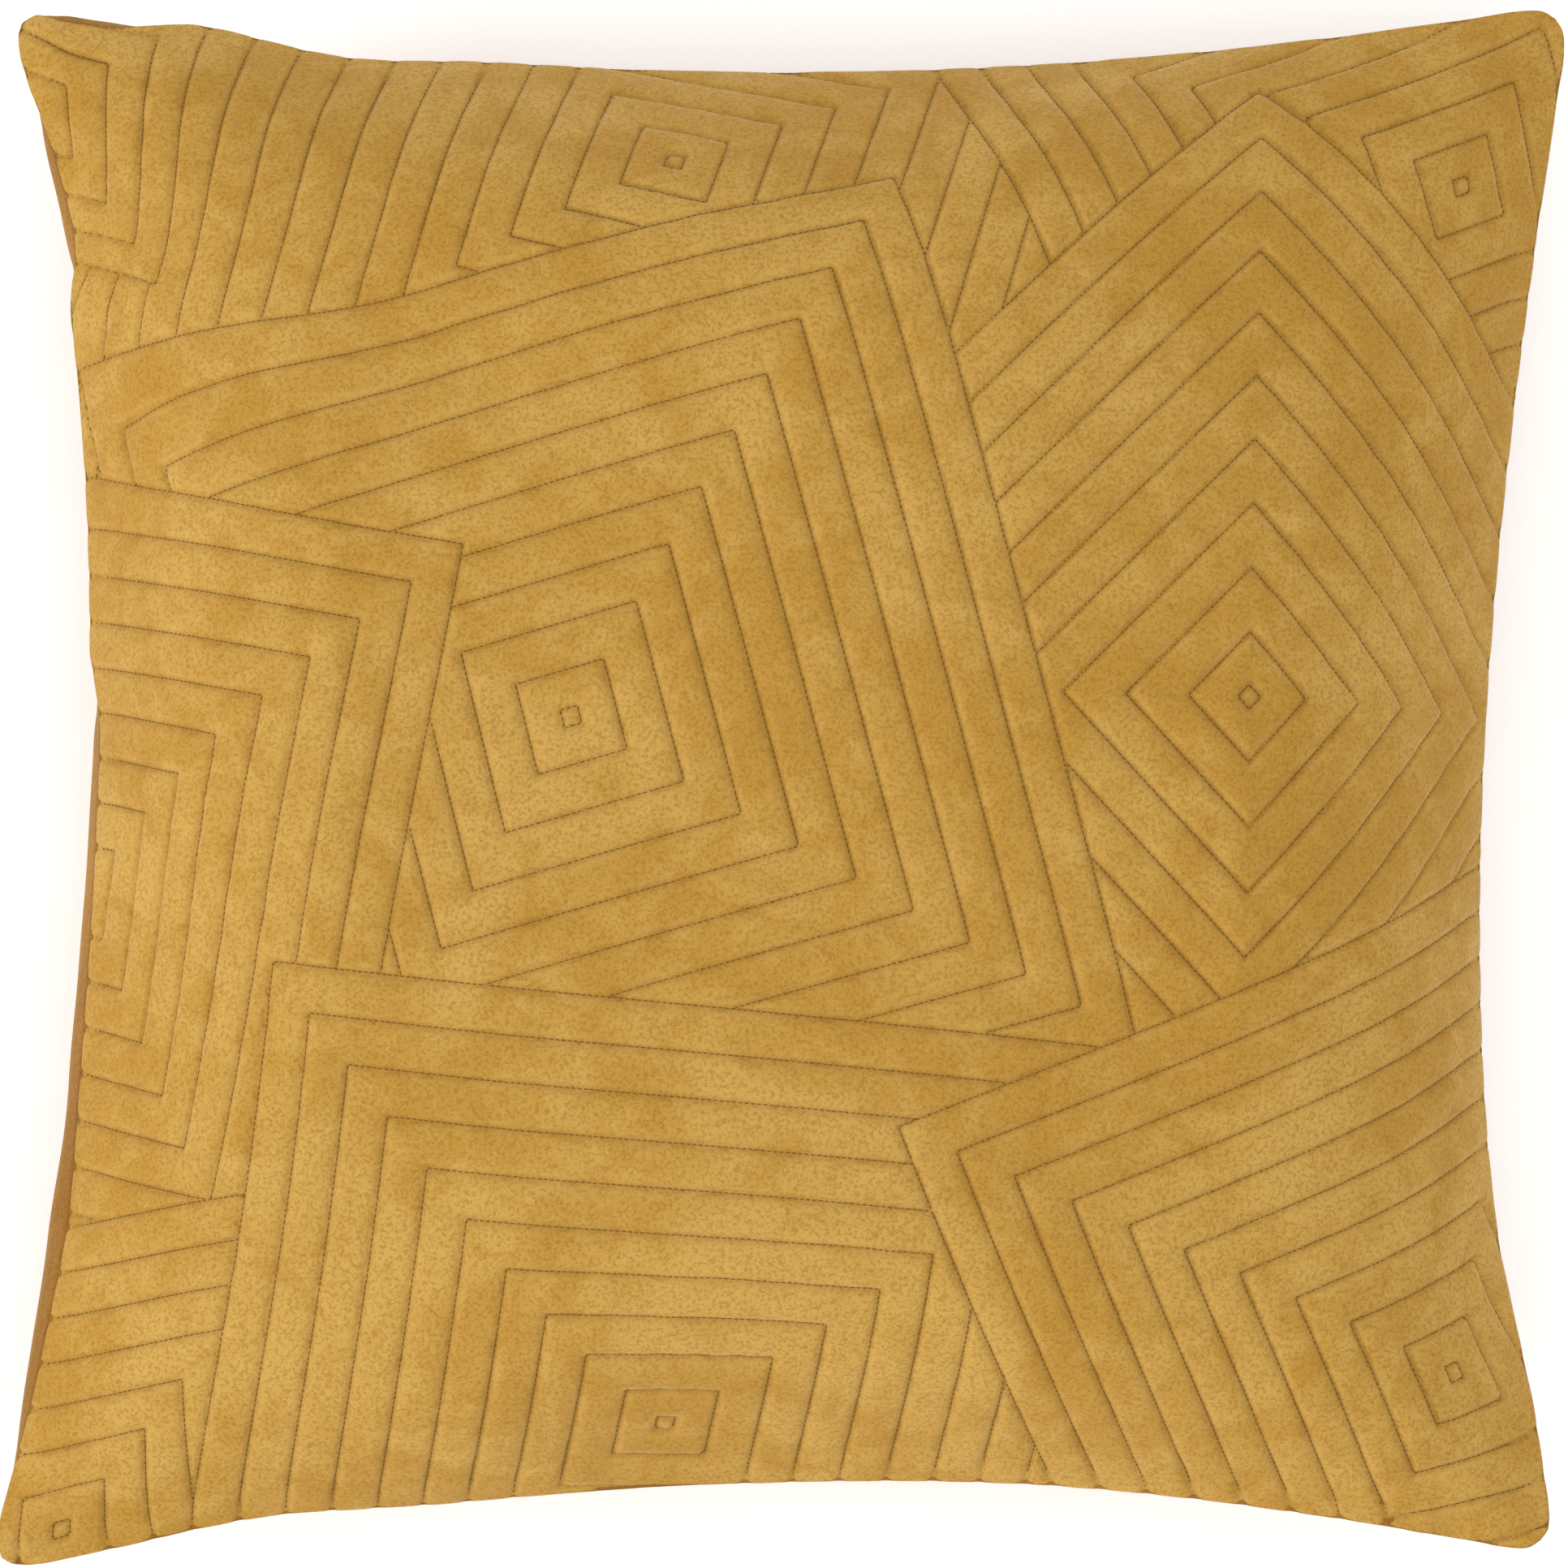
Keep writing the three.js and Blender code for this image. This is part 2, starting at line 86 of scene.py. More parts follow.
def filled_by_pressure(mesh):
    """Blows the bag out with Blender's cloth and returns where each corner ends up."""
    bag = bpy.data.objects.new("bag", mesh)
    bpy.context.scene.collection.objects.link(bag)
    cloth = bag.modifiers.new("cloth", "CLOTH")
    s = cloth.settings
    s.quality = 6
    s.mass = 0.3
    s.tension_stiffness = s.compression_stiffness = 40
    s.shear_stiffness = 16
    s.bending_stiffness = 2
    s.tension_damping = s.compression_damping = 10
    s.shear_damping = 8
    s.bending_damping = 1
    s.air_damping = 2
    s.use_pressure = True
    s.uniform_pressure_force = 2
    s.effector_weights.gravity = 0
    cloth.collision_settings.use_collision = False
    last = 30
    cloth.point_cache.frame_end = last
    for step in range(1, last + 1):
        bpy.context.scene.frame_set(step)
    settled = bag.evaluated_get(bpy.context.evaluated_depsgraph_get())
    places = np.array([v.co for v in settled.data.vertices])
    bag.modifiers.remove(cloth)
    bpy.context.scene.frame_set(1)
    bpy.data.objects.remove(bag)
    return places


def as_lattice(flat, places, front):
    """The front's or back's corners as a square array, first index along x and second along y."""
    n = WEAVE_STEPS
    column = np.rint((flat[:, 0] / CUT + 0.5) * n).astype(int)
    row = np.rint((flat[:, 1] / CUT + 0.5) * n).astype(int)
    mine = (flat[:, 2] > 0) == front
    seam = flat[:, 2] == 0
    lattice = np.zeros((n + 1, n + 1, 3))
    for chosen in (mine & ~seam, seam):
        lattice[column[chosen], row[chosen]] = places[chosen]
    return lattice


bag_mesh, bag_flat = sewn_bag()
bag_places = filled_by_pressure(bag_mesh)
bpy.data.meshes.remove(bag_mesh)
front_lattice = as_lattice(bag_flat, bag_places, True)
back_lattice = as_lattice(bag_flat, bag_places, False)
if front_lattice[..., 2].mean() < back_lattice[..., 2].mean():
    front_lattice[..., 2] *= -1
    back_lattice[..., 2] *= -1

# The stuffed bag is set to the real sizes: each side's arc, how high it stands, and its flat underside.
# Every side is (how far it is pulled in, where along it the deepest point lies from -1 to 1).
SIDE_ARCS = {
    "left": (27 * MM, 0.12),
    "right": (24.5 * MM, -0.14),
    "top": (21.5 * MM, -0.03),
    "bottom": (26.5 * MM, 0.08),
}
STIFF_CORNER = 0.06       # the corners are stiff with seams, so the last of each side runs straight
# Small swells and hollows of each side: (where along it, over what part of it, how far out).
SIDE_SWELLS = {
    "left": ((0.86, 0.1, 2.6 * MM), (-0.55, 0.2, -1.6 * MM)),
    "right": ((-0.8, 0.16, 3.6 * MM),),
    "top": ((-0.78, 0.1, 1.5 * MM), (-0.57, 0.12, -3 * MM)),
    "bottom": ((-0.66, 0.16, -3.4 * MM), (0.35, 0.3, -1.2 * MM)),
}
FINE = np.linspace(-1, 1, WEAVE_STEPS + 1)


def side_line(name, half):
    """How far out a side stands along its length."""
    depth, deepest = SIDE_ARCS[name]
    along = FINE - deepest * (1 - FINE * FINE)
    swell = sum(out * np.exp(-((FINE - at) / spread) ** 2) for at, spread, out in SIDE_SWELLS[name])
    return half + swell - depth * np.clip(1 - along * along - STIFF_CORNER, 0, 1) / (1 - STIFF_CORNER)


def set_outline(lattice):
    """Moves the seam to the side arcs, and the rest of the cloth with it, less and less inwards."""
    grown = HALF_SIZE.x / max(lattice[-1, -1, 0], lattice[-1, 0, 0])
    lattice[..., :2] *= grown
    half_across, half_up = HALF_SIZE.x + CORNER_TUCK / 2 - LEAN / 2, HALF_SIZE.y + CORNER_TUCK / 2
    for axis, (low, high), half in ((0, ("left", "right"), half_across), (1, ("bottom", "top"), half_up)):
        cloth = lattice if axis == 0 else lattice.transpose(1, 0, 2)
        move_high = side_line(high, half) - cloth[-1, :, axis]
        move_low = -side_line(low, half) - cloth[0, :, axis]
        share = FINE[:, None]
        cloth[..., axis] += np.clip(share, 0, 1) ** 2 * move_high + np.clip(-share, 0, 1) ** 2 * move_low
    lattice[..., 0] += LEAN * lattice[..., 1] / (2 * HALF_SIZE.y)
    toward_corner = np.clip(FINE, 0, 1)[:, None] ** 3 * np.clip(-FINE, 0, 1)[None, :] ** 2
    lattice[..., 1] += SHORT_CORNER * toward_corner
    for i in (0, -1):
        for j in (0, -1):
            rounder = 1.5 if (i, j) == (0, -1) else 1
            tuck = rounder * CORNER_TUCK * np.sign(lattice[i, j, :2])
            lattice[i, j, :2] -= tuck
            lattice[i, j + (1 if j == 0 else -1), 0] -= 0.3 * tuck[0]
            lattice[i + (1 if i == 0 else -1), j, 1] -= 0.3 * tuck[1]


def pressed_smooth(lattice):
    """The filling presses small wrinkles of the bag out, and most of all along its sides."""
    near_side = np.maximum(abs(FINE)[:, None], abs(FINE)[None, :]) > 0.6
    for turn in range(26):
        smooth = lattice.copy()
        smooth[1:-1, 1:-1] += lattice[:-2, 1:-1] + lattice[2:, 1:-1] + lattice[1:-1, :-2] + lattice[1:-1, 2:]
        smooth[1:-1, 1:-1] /= 5
        for edge in (smooth[0], smooth[-1], smooth[:, 0], smooth[:, -1]):
            edge[1:-1] = (edge[:-2] + 2 * edge[1:-1] + edge[2:]) / 4
        lattice[:] = np.where(near_side[..., None] | (turn < 8), smooth, lattice)
    for edge in (lattice[0], lattice[-1], lattice[:, 0], lattice[:, -1]):
        edge[:, 2] *= 0.3


for half_cover in (front_lattice, back_lattice):
    pressed_smooth(half_cover)
    set_outline(half_cover)
front_lattice[..., 2] *= CROWN / front_lattice[..., 2].max()
back_lattice[..., 2] *= SAG / -back_lattice[..., 2].min()


def joined_at_seam(one, other):
    """Both halves share one seam: where each edge stands is taken as half way between the two."""
    for edge in (np.s_[0, :], np.s_[-1, :], np.s_[:, 0], np.s_[:, -1]):
        one[edge] = other[edge] = (one[edge] + other[edge]) / 2


def rest_flat(depth):
    """The back presses flat on what it lies on, with a soft turn where it leaves it."""
    turn = 2.5 * MM
    return SEAM_HEIGHT - turn * np.log1p(np.exp((SEAM_HEIGHT - depth) / turn))


joined_at_seam(front_lattice, back_lattice)
back_lattice[..., 2] = np.where(
    back_lattice[..., 2] < -20 * MM, -rest_flat(-back_lattice[..., 2]), back_lattice[..., 2]
)

# The back velvet rolls round to the front along parts of the left side and at the top left corner, so the
# seam lies a little inside the cushion's outline there. Each roll is (how far along the side, how many
# steps of the bag the seam has moved), and it dies out over a few steps.
LEFT_ROLL = ((-1, 0.1), (-0.9, 0.4), (-0.78, 0.8), (-0.56, 1.1), (-0.4, 0.9), (-0.11, 0.85), (0.08, 0.8),
             (0.17, 0.0), (0.61, 0.0), (0.68, 0.85), (0.82, 0.7), (0.92, 0.1), (1, 0.0))
TOP_ROLL = ((-1, 0.2), (-0.93, 0.7), (-0.86, 0.65), (-0.76, 0.0), (1, 0.0))
ROLL_REACH = 7


def rolled_forward(front, back, roll):
    """Moves the cloth of both halves round the seam, which is the first row of each, towards the front."""
    rows = ROLL_REACH + 2
    profile = np.concatenate([back[rows:0:-1], front[: rows + 1]])
    moved = np.interp(FINE, *zip(*roll))
    across = np.arange(len(FINE))
    for k in range(ROLL_REACH):
        share = moved * (1 - k / ROLL_REACH)
        for lattice, t in ((front, rows + k + share), (back, rows - k + share)):
            low = np.floor(t).astype(int)
            part = (t - low)[:, None]
            lattice[k] = profile[low, across] * (1 - part) + profile[low + 1, across] * part


rolled_forward(front_lattice, back_lattice, LEFT_ROLL)
from_top = [lattice[:, ::-1].transpose(1, 0, 2) for lattice in (front_lattice, back_lattice)]
rolled_forward(*from_top, TOP_ROLL)
for lattice in (front_lattice, back_lattice):
    lattice[..., 2] += SEAM_HEIGHT


def on_cloth(lattice, x, y):
    """Where points of the flat cloth are on the stuffed cover, by smooth curves through its corners."""
    n = WEAVE_STEPS
    place = 0
    column, row = (np.clip((c / CUT + 0.5) * n, 0, n) for c in (x, y))
    i, j = (np.clip(np.floor(c), 0, n - 1).astype(int) for c in (column, row))
    weights = []
    for f in (column - i, row - j):
        weights.append((
            f * (-0.5 + f - 0.5 * f * f),
            1 + f * f * (-2.5 + 1.5 * f),
            f * (0.5 + 2 * f - 1.5 * f * f),
            f * f * (-0.5 + 0.5 * f),
        ))
    for a in range(4):
        for b in range(4):
            corner = lattice[np.clip(i + a - 1, 0, n), np.clip(j + b - 1, 0, n)]
            place = place + (weights[0][a] * weights[1][b])[:, None] * corner
    return place


def cloth_normal(lattice, x, y, side):
    """Which way the cloth faces at those points; side is 1 on the front and -1 on the back."""
    reach = 3 * MM
    low, high = -CUT / 2, CUT / 2
    across = (on_cloth(lattice, np.minimum(x + reach, high), y)
              - on_cloth(lattice, np.maximum(x - reach, low), y))
    upward = (on_cloth(lattice, x, np.minimum(y + reach, high))
              - on_cloth(lattice, x, np.maximum(y - reach, low)))
    normal = side * np.cross(across, upward)
    return normal / np.linalg.norm(normal, axis=1, keepdims=True)

# Both lips of the cover stand open along the zip in the lower side.
MOUTH_HALF = 203 * MM
MOUTH_LIP = 4.4 * MM
mouth = np.clip((MOUTH_HALF + 5 * MM - abs(front_lattice[:, 0, 0])) / (10 * MM), 0, 1)
for lattice, upwards in ((front_lattice, 1), (back_lattice, -1)):
    for row, share in enumerate((1.0, 0.55, 0.2)):
        lattice[:, row, 2] += upwards * share * MOUTH_LIP * mouth

# ------------------------------------------------------------------ quilting
# The front is sewn in nine overlapping motifs of squares inside squares. Each lies over the ones after it
# in this list, so only its uncovered part is sewn. Places are on the flat cloth, from its middle.

HEART = 2.8 * MM          # half the small square in the middle of a motif
MOTIFS = [                # across, up, turned by, rings, from one ring to the next
    (220 * MM, -191 * MM, 22, 10, 14.3 * MM),
    (-35 * MM, -220 * MM, -5.9, 10, 14.7 * MM),
    (-228 * MM, -240 * MM, 7, 7, 14.3 * MM),
    (-256 * MM, -34 * MM, -10, 9, 14.4 * MM),
    (-70 * MM, 17 * MM, 15.8, 10, 14.5 * MM),
    (145 * MM, 24 * MM, 44, 10, 14.4 * MM),
    (217 * MM, 190 * MM, 20, 10, 14 * MM),
    (-254 * MM, 215 * MM, -14, 4, 13.9 * MM),
    (-39 * MM, 201 * MM, -15.5, 34, 14.2 * MM),
]
LOFT = 2.1 * MM          # how far the wadding lifts the velvet between stitches
SOFTNESS = 1.2 * MM      # how quickly it rises from a stitch


def in_motif(motif, x, y):
    """A motif's own directions, and the points in them."""
    turn = math.radians(motif[2])
    c, s = math.cos(turn), math.sin(turn)
    dx, dy = x - motif[0], y - motif[1]
    return (c, s), (c * dx + s * dy, c * dy - s * dx)


DRAWN_MOST = 17 * MM      # how far the cloth was pulled up at the left side, at most
DRAWN_AT = 142 * MM       # how high up that is
DRAWN_SPREAD = 30 * MM


def drawn_up(x, y):
    """The cloth was pulled upwards near the left side as it was quilted, which bends the lines there."""
    toward_left = np.clip((-x - 120 * MM) / (130 * MM), 0, 1) ** 1.3
    return DRAWN_MOST * np.exp(-((y - DRAWN_AT) / DRAWN_SPREAD) ** 2) * toward_left


def nearest_stitching(x, y):
    """How far each point of the cloth is from a line of stitches, and the step that would take it there."""
    y = y - drawn_up(x, y)
    distance = np.full(x.shape, 1.0)
    step = np.zeros(x.shape + (2,))
    covered = np.zeros(x.shape, bool)
    for motif in MOTIFS:
        rings, ring_step = motif[3:]
        reach = rings * ring_step
        (c, s), (u, v) = in_motif(motif, x, y)
        size = np.maximum(abs(u), abs(v))
        inside = size <= reach
        ring = np.where(
            size < (HEART + ring_step) / 2, HEART, ring_step * np.clip(np.rint(size / ring_step), 1, rings)
        )
        wide = abs(u) >= abs(v)
        to_ring = ring - size
        own = np.stack(
            [np.where(wide, np.sign(u) * to_ring, 0), np.where(wide, 0, np.sign(v) * to_ring)], axis=-1
        )
        to_edge = np.stack([np.clip(u, -reach, reach) - u, np.clip(v, -reach, reach) - v], axis=-1)
        local = np.where(inside[..., None], own, to_edge)
        away = np.hypot(local[..., 0], local[..., 1])
        nearer = ~covered & (away < distance)
        distance = np.where(nearer, away, distance)
        turned = np.stack(
            [c * local[..., 0] - s * local[..., 1], s * local[..., 0] + c * local[..., 1]], axis=-1
        )
        step = np.where(nearer[..., None], turned, step)
        covered |= inside
    return distance, step


def ripple(x, y, length, seed):
    """A smooth uneven wave over the cloth, about 1 high, for small puckers."""
    chance = np.random.default_rng(seed)
    wave = 0
    for _ in range(7):
        angle, phase = chance.uniform(0, 2 * math.pi, 2)
        pace = 2 * math.pi / (length * chance.uniform(0.7, 1.5))
        wave = wave + np.sin(pace * (x * math.cos(angle) + y * math.sin(angle)) + phase)
    return wave / 2.6


def from_seam(x, y):
    """How far points of the cloth are from the seam round it."""
    return CUT / 2 - np.maximum(abs(x), abs(y))


def quilted_rise(x, y):
    """How far the quilted velvet stands off the plain filled shape."""
    distance, _ = nearest_stitching(x, y)
    rise = LOFT * (1 - np.exp(-distance / SOFTNESS)) - 0.6 * LOFT
    plump = 1 + 0.14 * ripple(x, y, 26 * MM, 3)
    pucker = 0.2 * MM * ripple(x, y, 15 * MM, 5) * np.exp(-distance / (3 * MM))
    return (rise * plump + pucker) * (0.4 + 0.6 * np.clip(from_seam(x, y) / (8 * MM), 0, 1))


# ------------------------------------------------------------------ front velvet
# Cotton velvet with a short dense pile, quilted through the wadding and backing under it. It is cut as a
# square, its edges are turned in, and it is machine sewn to the back velvet on all sides but at the zip.

FRONT_STEPS = 450
LINING_STEPS = 50
VELVET = 2 * MM
TURNED_IN = 15 * MM       # from this far in, a layer has its whole thickness


def cloth_panel(name, lattice, side, steps, margin, outer, depth, quilted=False):
    """A closed layer of the cover. Its outer face stands outer(x, y) off the filled shape and its inner one
    lies depth below that shape, both drawn together towards the seam."""
    half = CUT / 2 - margin
    finer = max(1, steps // LINING_STEPS)
    lining_steps = steps // finer
    piece = bmesh.new()
    bmesh.ops.create_grid(
        piece, x_segments=lining_steps, y_segments=lining_steps, size=half,
        matrix=Matrix.Translation((0, 0, -0.1 * MM))
    )
    if finer > 1:
        bmesh.ops.subdivide_edges(piece, edges=[e for e in piece.edges if e.is_boundary], cuts=finer - 1)
    bmesh.ops.create_grid(piece, x_segments=steps, y_segments=steps, size=half)
    rims = [e for e in piece.edges if e.is_boundary]
    bmesh.ops.bridge_loops(piece, edges=rims)
    mesh = bpy.data.meshes.new(name)
    piece.to_mesh(mesh)
    piece.free()
    flat = np.empty(len(mesh.vertices) * 3)
    mesh.vertices.foreach_get("co", flat)
    x, y, layer = flat.reshape(-1, 3).T.copy()
    face = layer > -0.05 * MM
    lift = np.empty(len(x))
    groove, rim_highlight = np.zeros(len(x)), np.zeros(len(x))
    if quilted:
        distance, step = nearest_stitching(x, y)
        sewn = face & (distance < 0.56 * CUT / steps) & (from_seam(x, y) > 1e-6)
        x, y = (c + np.where(sewn, step[:, k], 0) for k, c in enumerate((x, y)))
        x, y = np.clip(x, -half, half), np.clip(y, -half, half)
        distance = nearest_stitching(x, y)[0]
        # The first is where painted shade darkens the velvet along each stitch, the second where a painted
        # highlight lightens it just beside.
        groove = np.exp(-distance / (0.6 * MM))
        rim_highlight = np.exp(-((distance - 1.5 * MM) / (0.7 * MM)) ** 2)
    share = np.clip(from_seam(x, y) / TURNED_IN, 0.04, 1) ** 0.8
    lift[face] = outer(x[face], y[face]) if callable(outer) else -outer * share[face]
    lift[~face] = -depth * share[~face]
    places = on_cloth(lattice, x, y) + cloth_normal(lattice, x, y, side) * lift[:, None]
    mesh.vertices.foreach_set("co", places.ravel())
    corners = np.empty(len(mesh.loops), int)
    mesh.loops.foreach_get("vertex_index", corners)
    cloth_map = mesh.uv_layers.new(name="cloth")
    cloth_map.data.foreach_set("uv", np.stack([x[corners], y[corners]], axis=1).ravel() / CUT + 0.5)
    for attribute, values in (("groove", groove), ("rim_highlight", rim_highlight)):
        mesh.attributes.new(attribute, "FLOAT", "POINT").data.foreach_set("value", values)
    tidy = bmesh.new()
    tidy.from_mesh(mesh)
    bmesh.ops.recalc_face_normals(tidy, faces=tidy.faces[:])
    for f in tidy.faces:
        f.smooth = True
    tidy.to_mesh(mesh)
    tidy.free()
    piece = bpy.data.objects.new(name, mesh)
    bpy.context.scene.collection.objects.link(piece)
    return piece


def node(tree, kind, settings=(), **values):
    """A shader node with its own settings and the values of its sockets."""
    made = tree.nodes.new("ShaderNode" + kind)
    for key, value in dict(settings).items():
        setattr(made, key, value)
    for key, value in values.items():
        socket = made.inputs[int(key[1:])] if key[0] == "_" else made.inputs[key.replace("_", " ")]
        if isinstance(value, bpy.types.NodeSocket):
            tree.links.new(value, socket)
        else:
            socket.default_value = value
    return made


def node_group(name, inputs, outputs):
    """An empty shader node group with those sockets, and its two ends."""
    group = bpy.data.node_groups.new(name, "ShaderNodeTree")
    for label, kind, value in inputs:
        socket = group.interface.new_socket(label, in_out="INPUT", socket_type="NodeSocket" + kind)
        if value is not None:
            socket.default_value = value
    for label, kind in outputs:
        group.interface.new_socket(label, in_out="OUTPUT", socket_type="NodeSocket" + kind)
    return group, group.nodes.new("NodeGroupInput").outputs, group.nodes.new("NodeGroupOutput").inputs


def mixed(tree, share, one, other, blend="MIX"):
    """Two colours mixed by a share."""
    made = tree.nodes.new("ShaderNodeMix")
    made.data_type, made.blend_type = "RGBA", blend
    for socket, value in ((made.inputs[0], share), (made.inputs[6], one), (made.inputs[7], other)):
        if isinstance(value, bpy.types.NodeSocket):
            tree.links.new(value, socket)
        else:
            socket.default_value = value
    return made.outputs[2]


def ramped(tree, value, low, high, to_low=0.0, to_high=1.0):
    """A value stretched from one range to another and kept inside it."""
    return node(tree, "MapRange", {"interpolation_type": "SMOOTHSTEP"}, Value=value,
                From_Min=low, From_Max=high,
                To_Min=to_low, To_Max=to_high).outputs["Result"]


def surface(name, **values):
    """A new material with its tree, its object coordinates and its main shader."""
    material = bpy.data.materials.new(name)
    material.use_nodes = True
    tree = material.node_tree
    shader = tree.nodes["Principled BSDF"]
    for key, value in values.items():
        shader.inputs[key.replace("_", " ")].default_value = value
    place = tree.nodes.new("ShaderNodeTexCoord").outputs["Object"]
    return material, tree, place, shader


def plug(tree, shader, color=None, roughness=None, height=None, strength=0.5, distance=0.0005):
    """Joins a pattern's colour, roughness and height to the main shader."""
    if color is not None:
        tree.links.new(color, shader.inputs["Base Color"])
    if roughness is not None:
        tree.links.new(roughness, shader.inputs["Roughness"])
    if height is not None:
        bump = node(tree, "Bump", Strength=strength, Distance=distance, Height=height)
        tree.links.new(bump.outputs["Normal"], shader.inputs["Normal"])


# Velvet: tufts of cut pile stand up unevenly, so it is mottled finely, and lies brushed this way and that
# in broad patches, which look paler or deeper. Along each stitch the colour is darkened by painted shade,
# and just beside it lightened by a painted highlight where the groove's sides would catch the light.
pile, pile_in, pile_out = node_group(
    "velvet_pile",
    [("Vector", "Vector", None), ("Pile", "Color", None), ("Brushed And Rim Light", "Color", None), ("Deep And Groove Shade", "Color", None),
     ("Groove", "Float", 0.0), ("Rim Highlight", "Float", 0.0), ("Mottle", "Float", 0.5)],
    [("Color", "Color"), ("Roughness", "Float"), ("Height", "Float")],
)
broad = node(pile, "TexNoise", Vector=pile_in["Vector"], Scale=11.0, Detail=4.0, Roughness=0.6,
             Distortion=0.8)
brushed_patch = node(pile, "TexNoise", Vector=pile_in["Vector"], Scale=42.0, Detail=4.0, Roughness=0.62,
                     Distortion=1.2)
tufts = node(pile, "TexNoise", Vector=pile_in["Vector"], Scale=820.0, Detail=3.0, Roughness=0.7)
fibres = node(pile, "TexNoise", Vector=pile_in["Vector"], Scale=2100.0, Detail=2.0, Roughness=0.6)
lying = node(pile, "Math", {"operation": "MULTIPLY_ADD"}, _0=broad.outputs["Fac"], _1=0.6,
             _2=node(pile, "Math", {"operation": "MULTIPLY"}, _0=brushed_patch.outputs["Fac"],
                     _1=0.4).outputs[0])
velvet_tone = mixed(pile, ramped(pile, lying.outputs[0], 0.4, 0.62), pile_in["Pile"], pile_in["Brushed And Rim Light"])
dark_tuft = node(pile, "Math", {"operation": "MULTIPLY"}, _0=ramped(pile, tufts.outputs["Fac"], 0.56, 0.36),
                 _1=pile_in["Mottle"])
velvet_tone = mixed(pile, dark_tuft.outputs[0], velvet_tone, pile_in["Deep And Groove Shade"])
bright_fibre = node(pile, "Math", {"operation": "MULTIPLY"},
                    _0=ramped(pile, fibres.outputs["Fac"], 0.5, 0.72), _1=pile_in["Mottle"])
velvet_tone = mixed(pile, bright_fibre.outputs[0], velvet_tone, pile_in["Brushed And Rim Light"])
# Painted highlight: the velvet is lightened in a band just beside each stitch, where the groove's sides would
# catch the light.
painted_rim_highlight = node(pile, "Math", {"operation": "MULTIPLY"}, _0=pile_in["Rim Highlight"],
                     _1=ramped(pile, brushed_patch.outputs["Fac"], 0.38, 0.6, 0.1, 0.55))
velvet_tone = mixed(pile, painted_rim_highlight.outputs[0], velvet_tone, pile_in["Brushed And Rim Light"])
# Painted shade: the velvet is darkened along each stitch line, where shade falls in the groove.
painted_groove_shade = node(pile, "Math", {"operation": "MULTIPLY"}, _0=pile_in["Groove"], _1=0.2)
velvet_tone = mixed(pile, painted_groove_shade.outputs[0], velvet_tone, pile_in["Deep And Groove Shade"])
pile.links.new(velvet_tone, pile_out["Color"])
pile.links.new(ramped(pile, tufts.outputs["Fac"], 0.3, 0.7, 0.95, 0.78), pile_out["Roughness"])
tuft_height = node(pile, "Math", {"operation": "MULTIPLY_ADD"}, _0=fibres.outputs["Fac"], _1=0.45,
                   _2=tufts.outputs["Fac"])
pile.links.new(tuft_height.outputs[0], pile_out["Height"])


def velvet(name, colors, mottle, **sheen):
    """A velvet of three colours: its upright pile, its brushed pile, also used for the painted highlight
    beside the stitches, and deep between the tufts, also used for the painted shade along them.
    """
    material, tree, place, shader = surface(name, **sheen)
    pattern = tree.nodes.new("ShaderNodeGroup")
    pattern.node_tree = pile
    tree.links.new(place, pattern.inputs["Vector"])
    # The stitch lines' painted shade and the painted highlight beside them come in as attributes of the
    # cloth.
    for socket, attribute in (("Groove", "groove"), ("Rim Highlight", "rim_highlight")):
        tree.links.new(
            node(tree, "Attribute", {"attribute_name": attribute}).outputs["Fac"], pattern.inputs[socket]
        )
    pattern.inputs["Mottle"].default_value = mottle
    for label, color in zip(("Pile", "Brushed And Rim Light", "Deep And Groove Shade"), colors):
        pattern.inputs[label].default_value = (*color, 1)
    plug(tree, shader, *(pattern.outputs[k] for k in ("Color", "Roughness", "Height")),
         strength=0.55, distance=0.0006)
    return material


front_velvet = cloth_panel(
    "front_velvet_quilted", front_lattice, 1, FRONT_STEPS, 0, quilted_rise, VELVET, quilted=True
)
front_velvet.data.materials.append(
    velvet("front_velvet", ((0.47, 0.25, 0.038), (0.58, 0.35, 0.085), (0.30, 0.14, 0.014)), 0.55,
           Sheen_Weight=0.35, Sheen_Roughness=0.28, Sheen_Tint=(1, 0.9, 0.66, 1), Specular_IOR_Level=0.15)
)
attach(front_velvet, "cushion")
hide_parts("front_velvet")

# ------------------------------------------------------------------ quilting thread
# Polyester thread in short lock stitches along every line of the quilting, pulled down into the velvet.

STITCH_PITCH = 1.95 * MM
THREAD = 0.5 * MM


def laid_copies(name, shape, places, along, facing):
    """Copies of one small closed shape, each set at its place with its x along and its z facing out."""
    number = shape.verts.layers.int.new("number")
    made = 1
    while made < len(places):
        for part in bmesh.ops.duplicate(shape, geom=shape.verts[:] + shape.edges[:] + shape.faces[:])["geom"]:
            if isinstance(part, bmesh.types.BMVert):
                part[number] += made
        made *= 2
    bmesh.ops.delete(shape, geom=[v for v in shape.verts if v[number] >= len(places)], context="VERTS")
    copy = np.array([v[number] for v in shape.verts])
    local = np.array([v.co for v in shape.verts])
    axes = along, np.cross(facing, along), facing
    for v, co in zip(
        shape.verts, places[copy] + sum(local[:, k, None] * axis[copy] for k, axis in enumerate(axes))
    ):
        v.co = co
    for f in shape.faces:
        f.smooth = True
    mesh = bpy.data.meshes.new(name)
    shape.to_mesh(mesh)
    shape.free()
    mesh.attributes.remove(mesh.attributes["number"])
    piece = bpy.data.objects.new(name, mesh)
    bpy.context.scene.collection.objects.link(piece)
    return piece


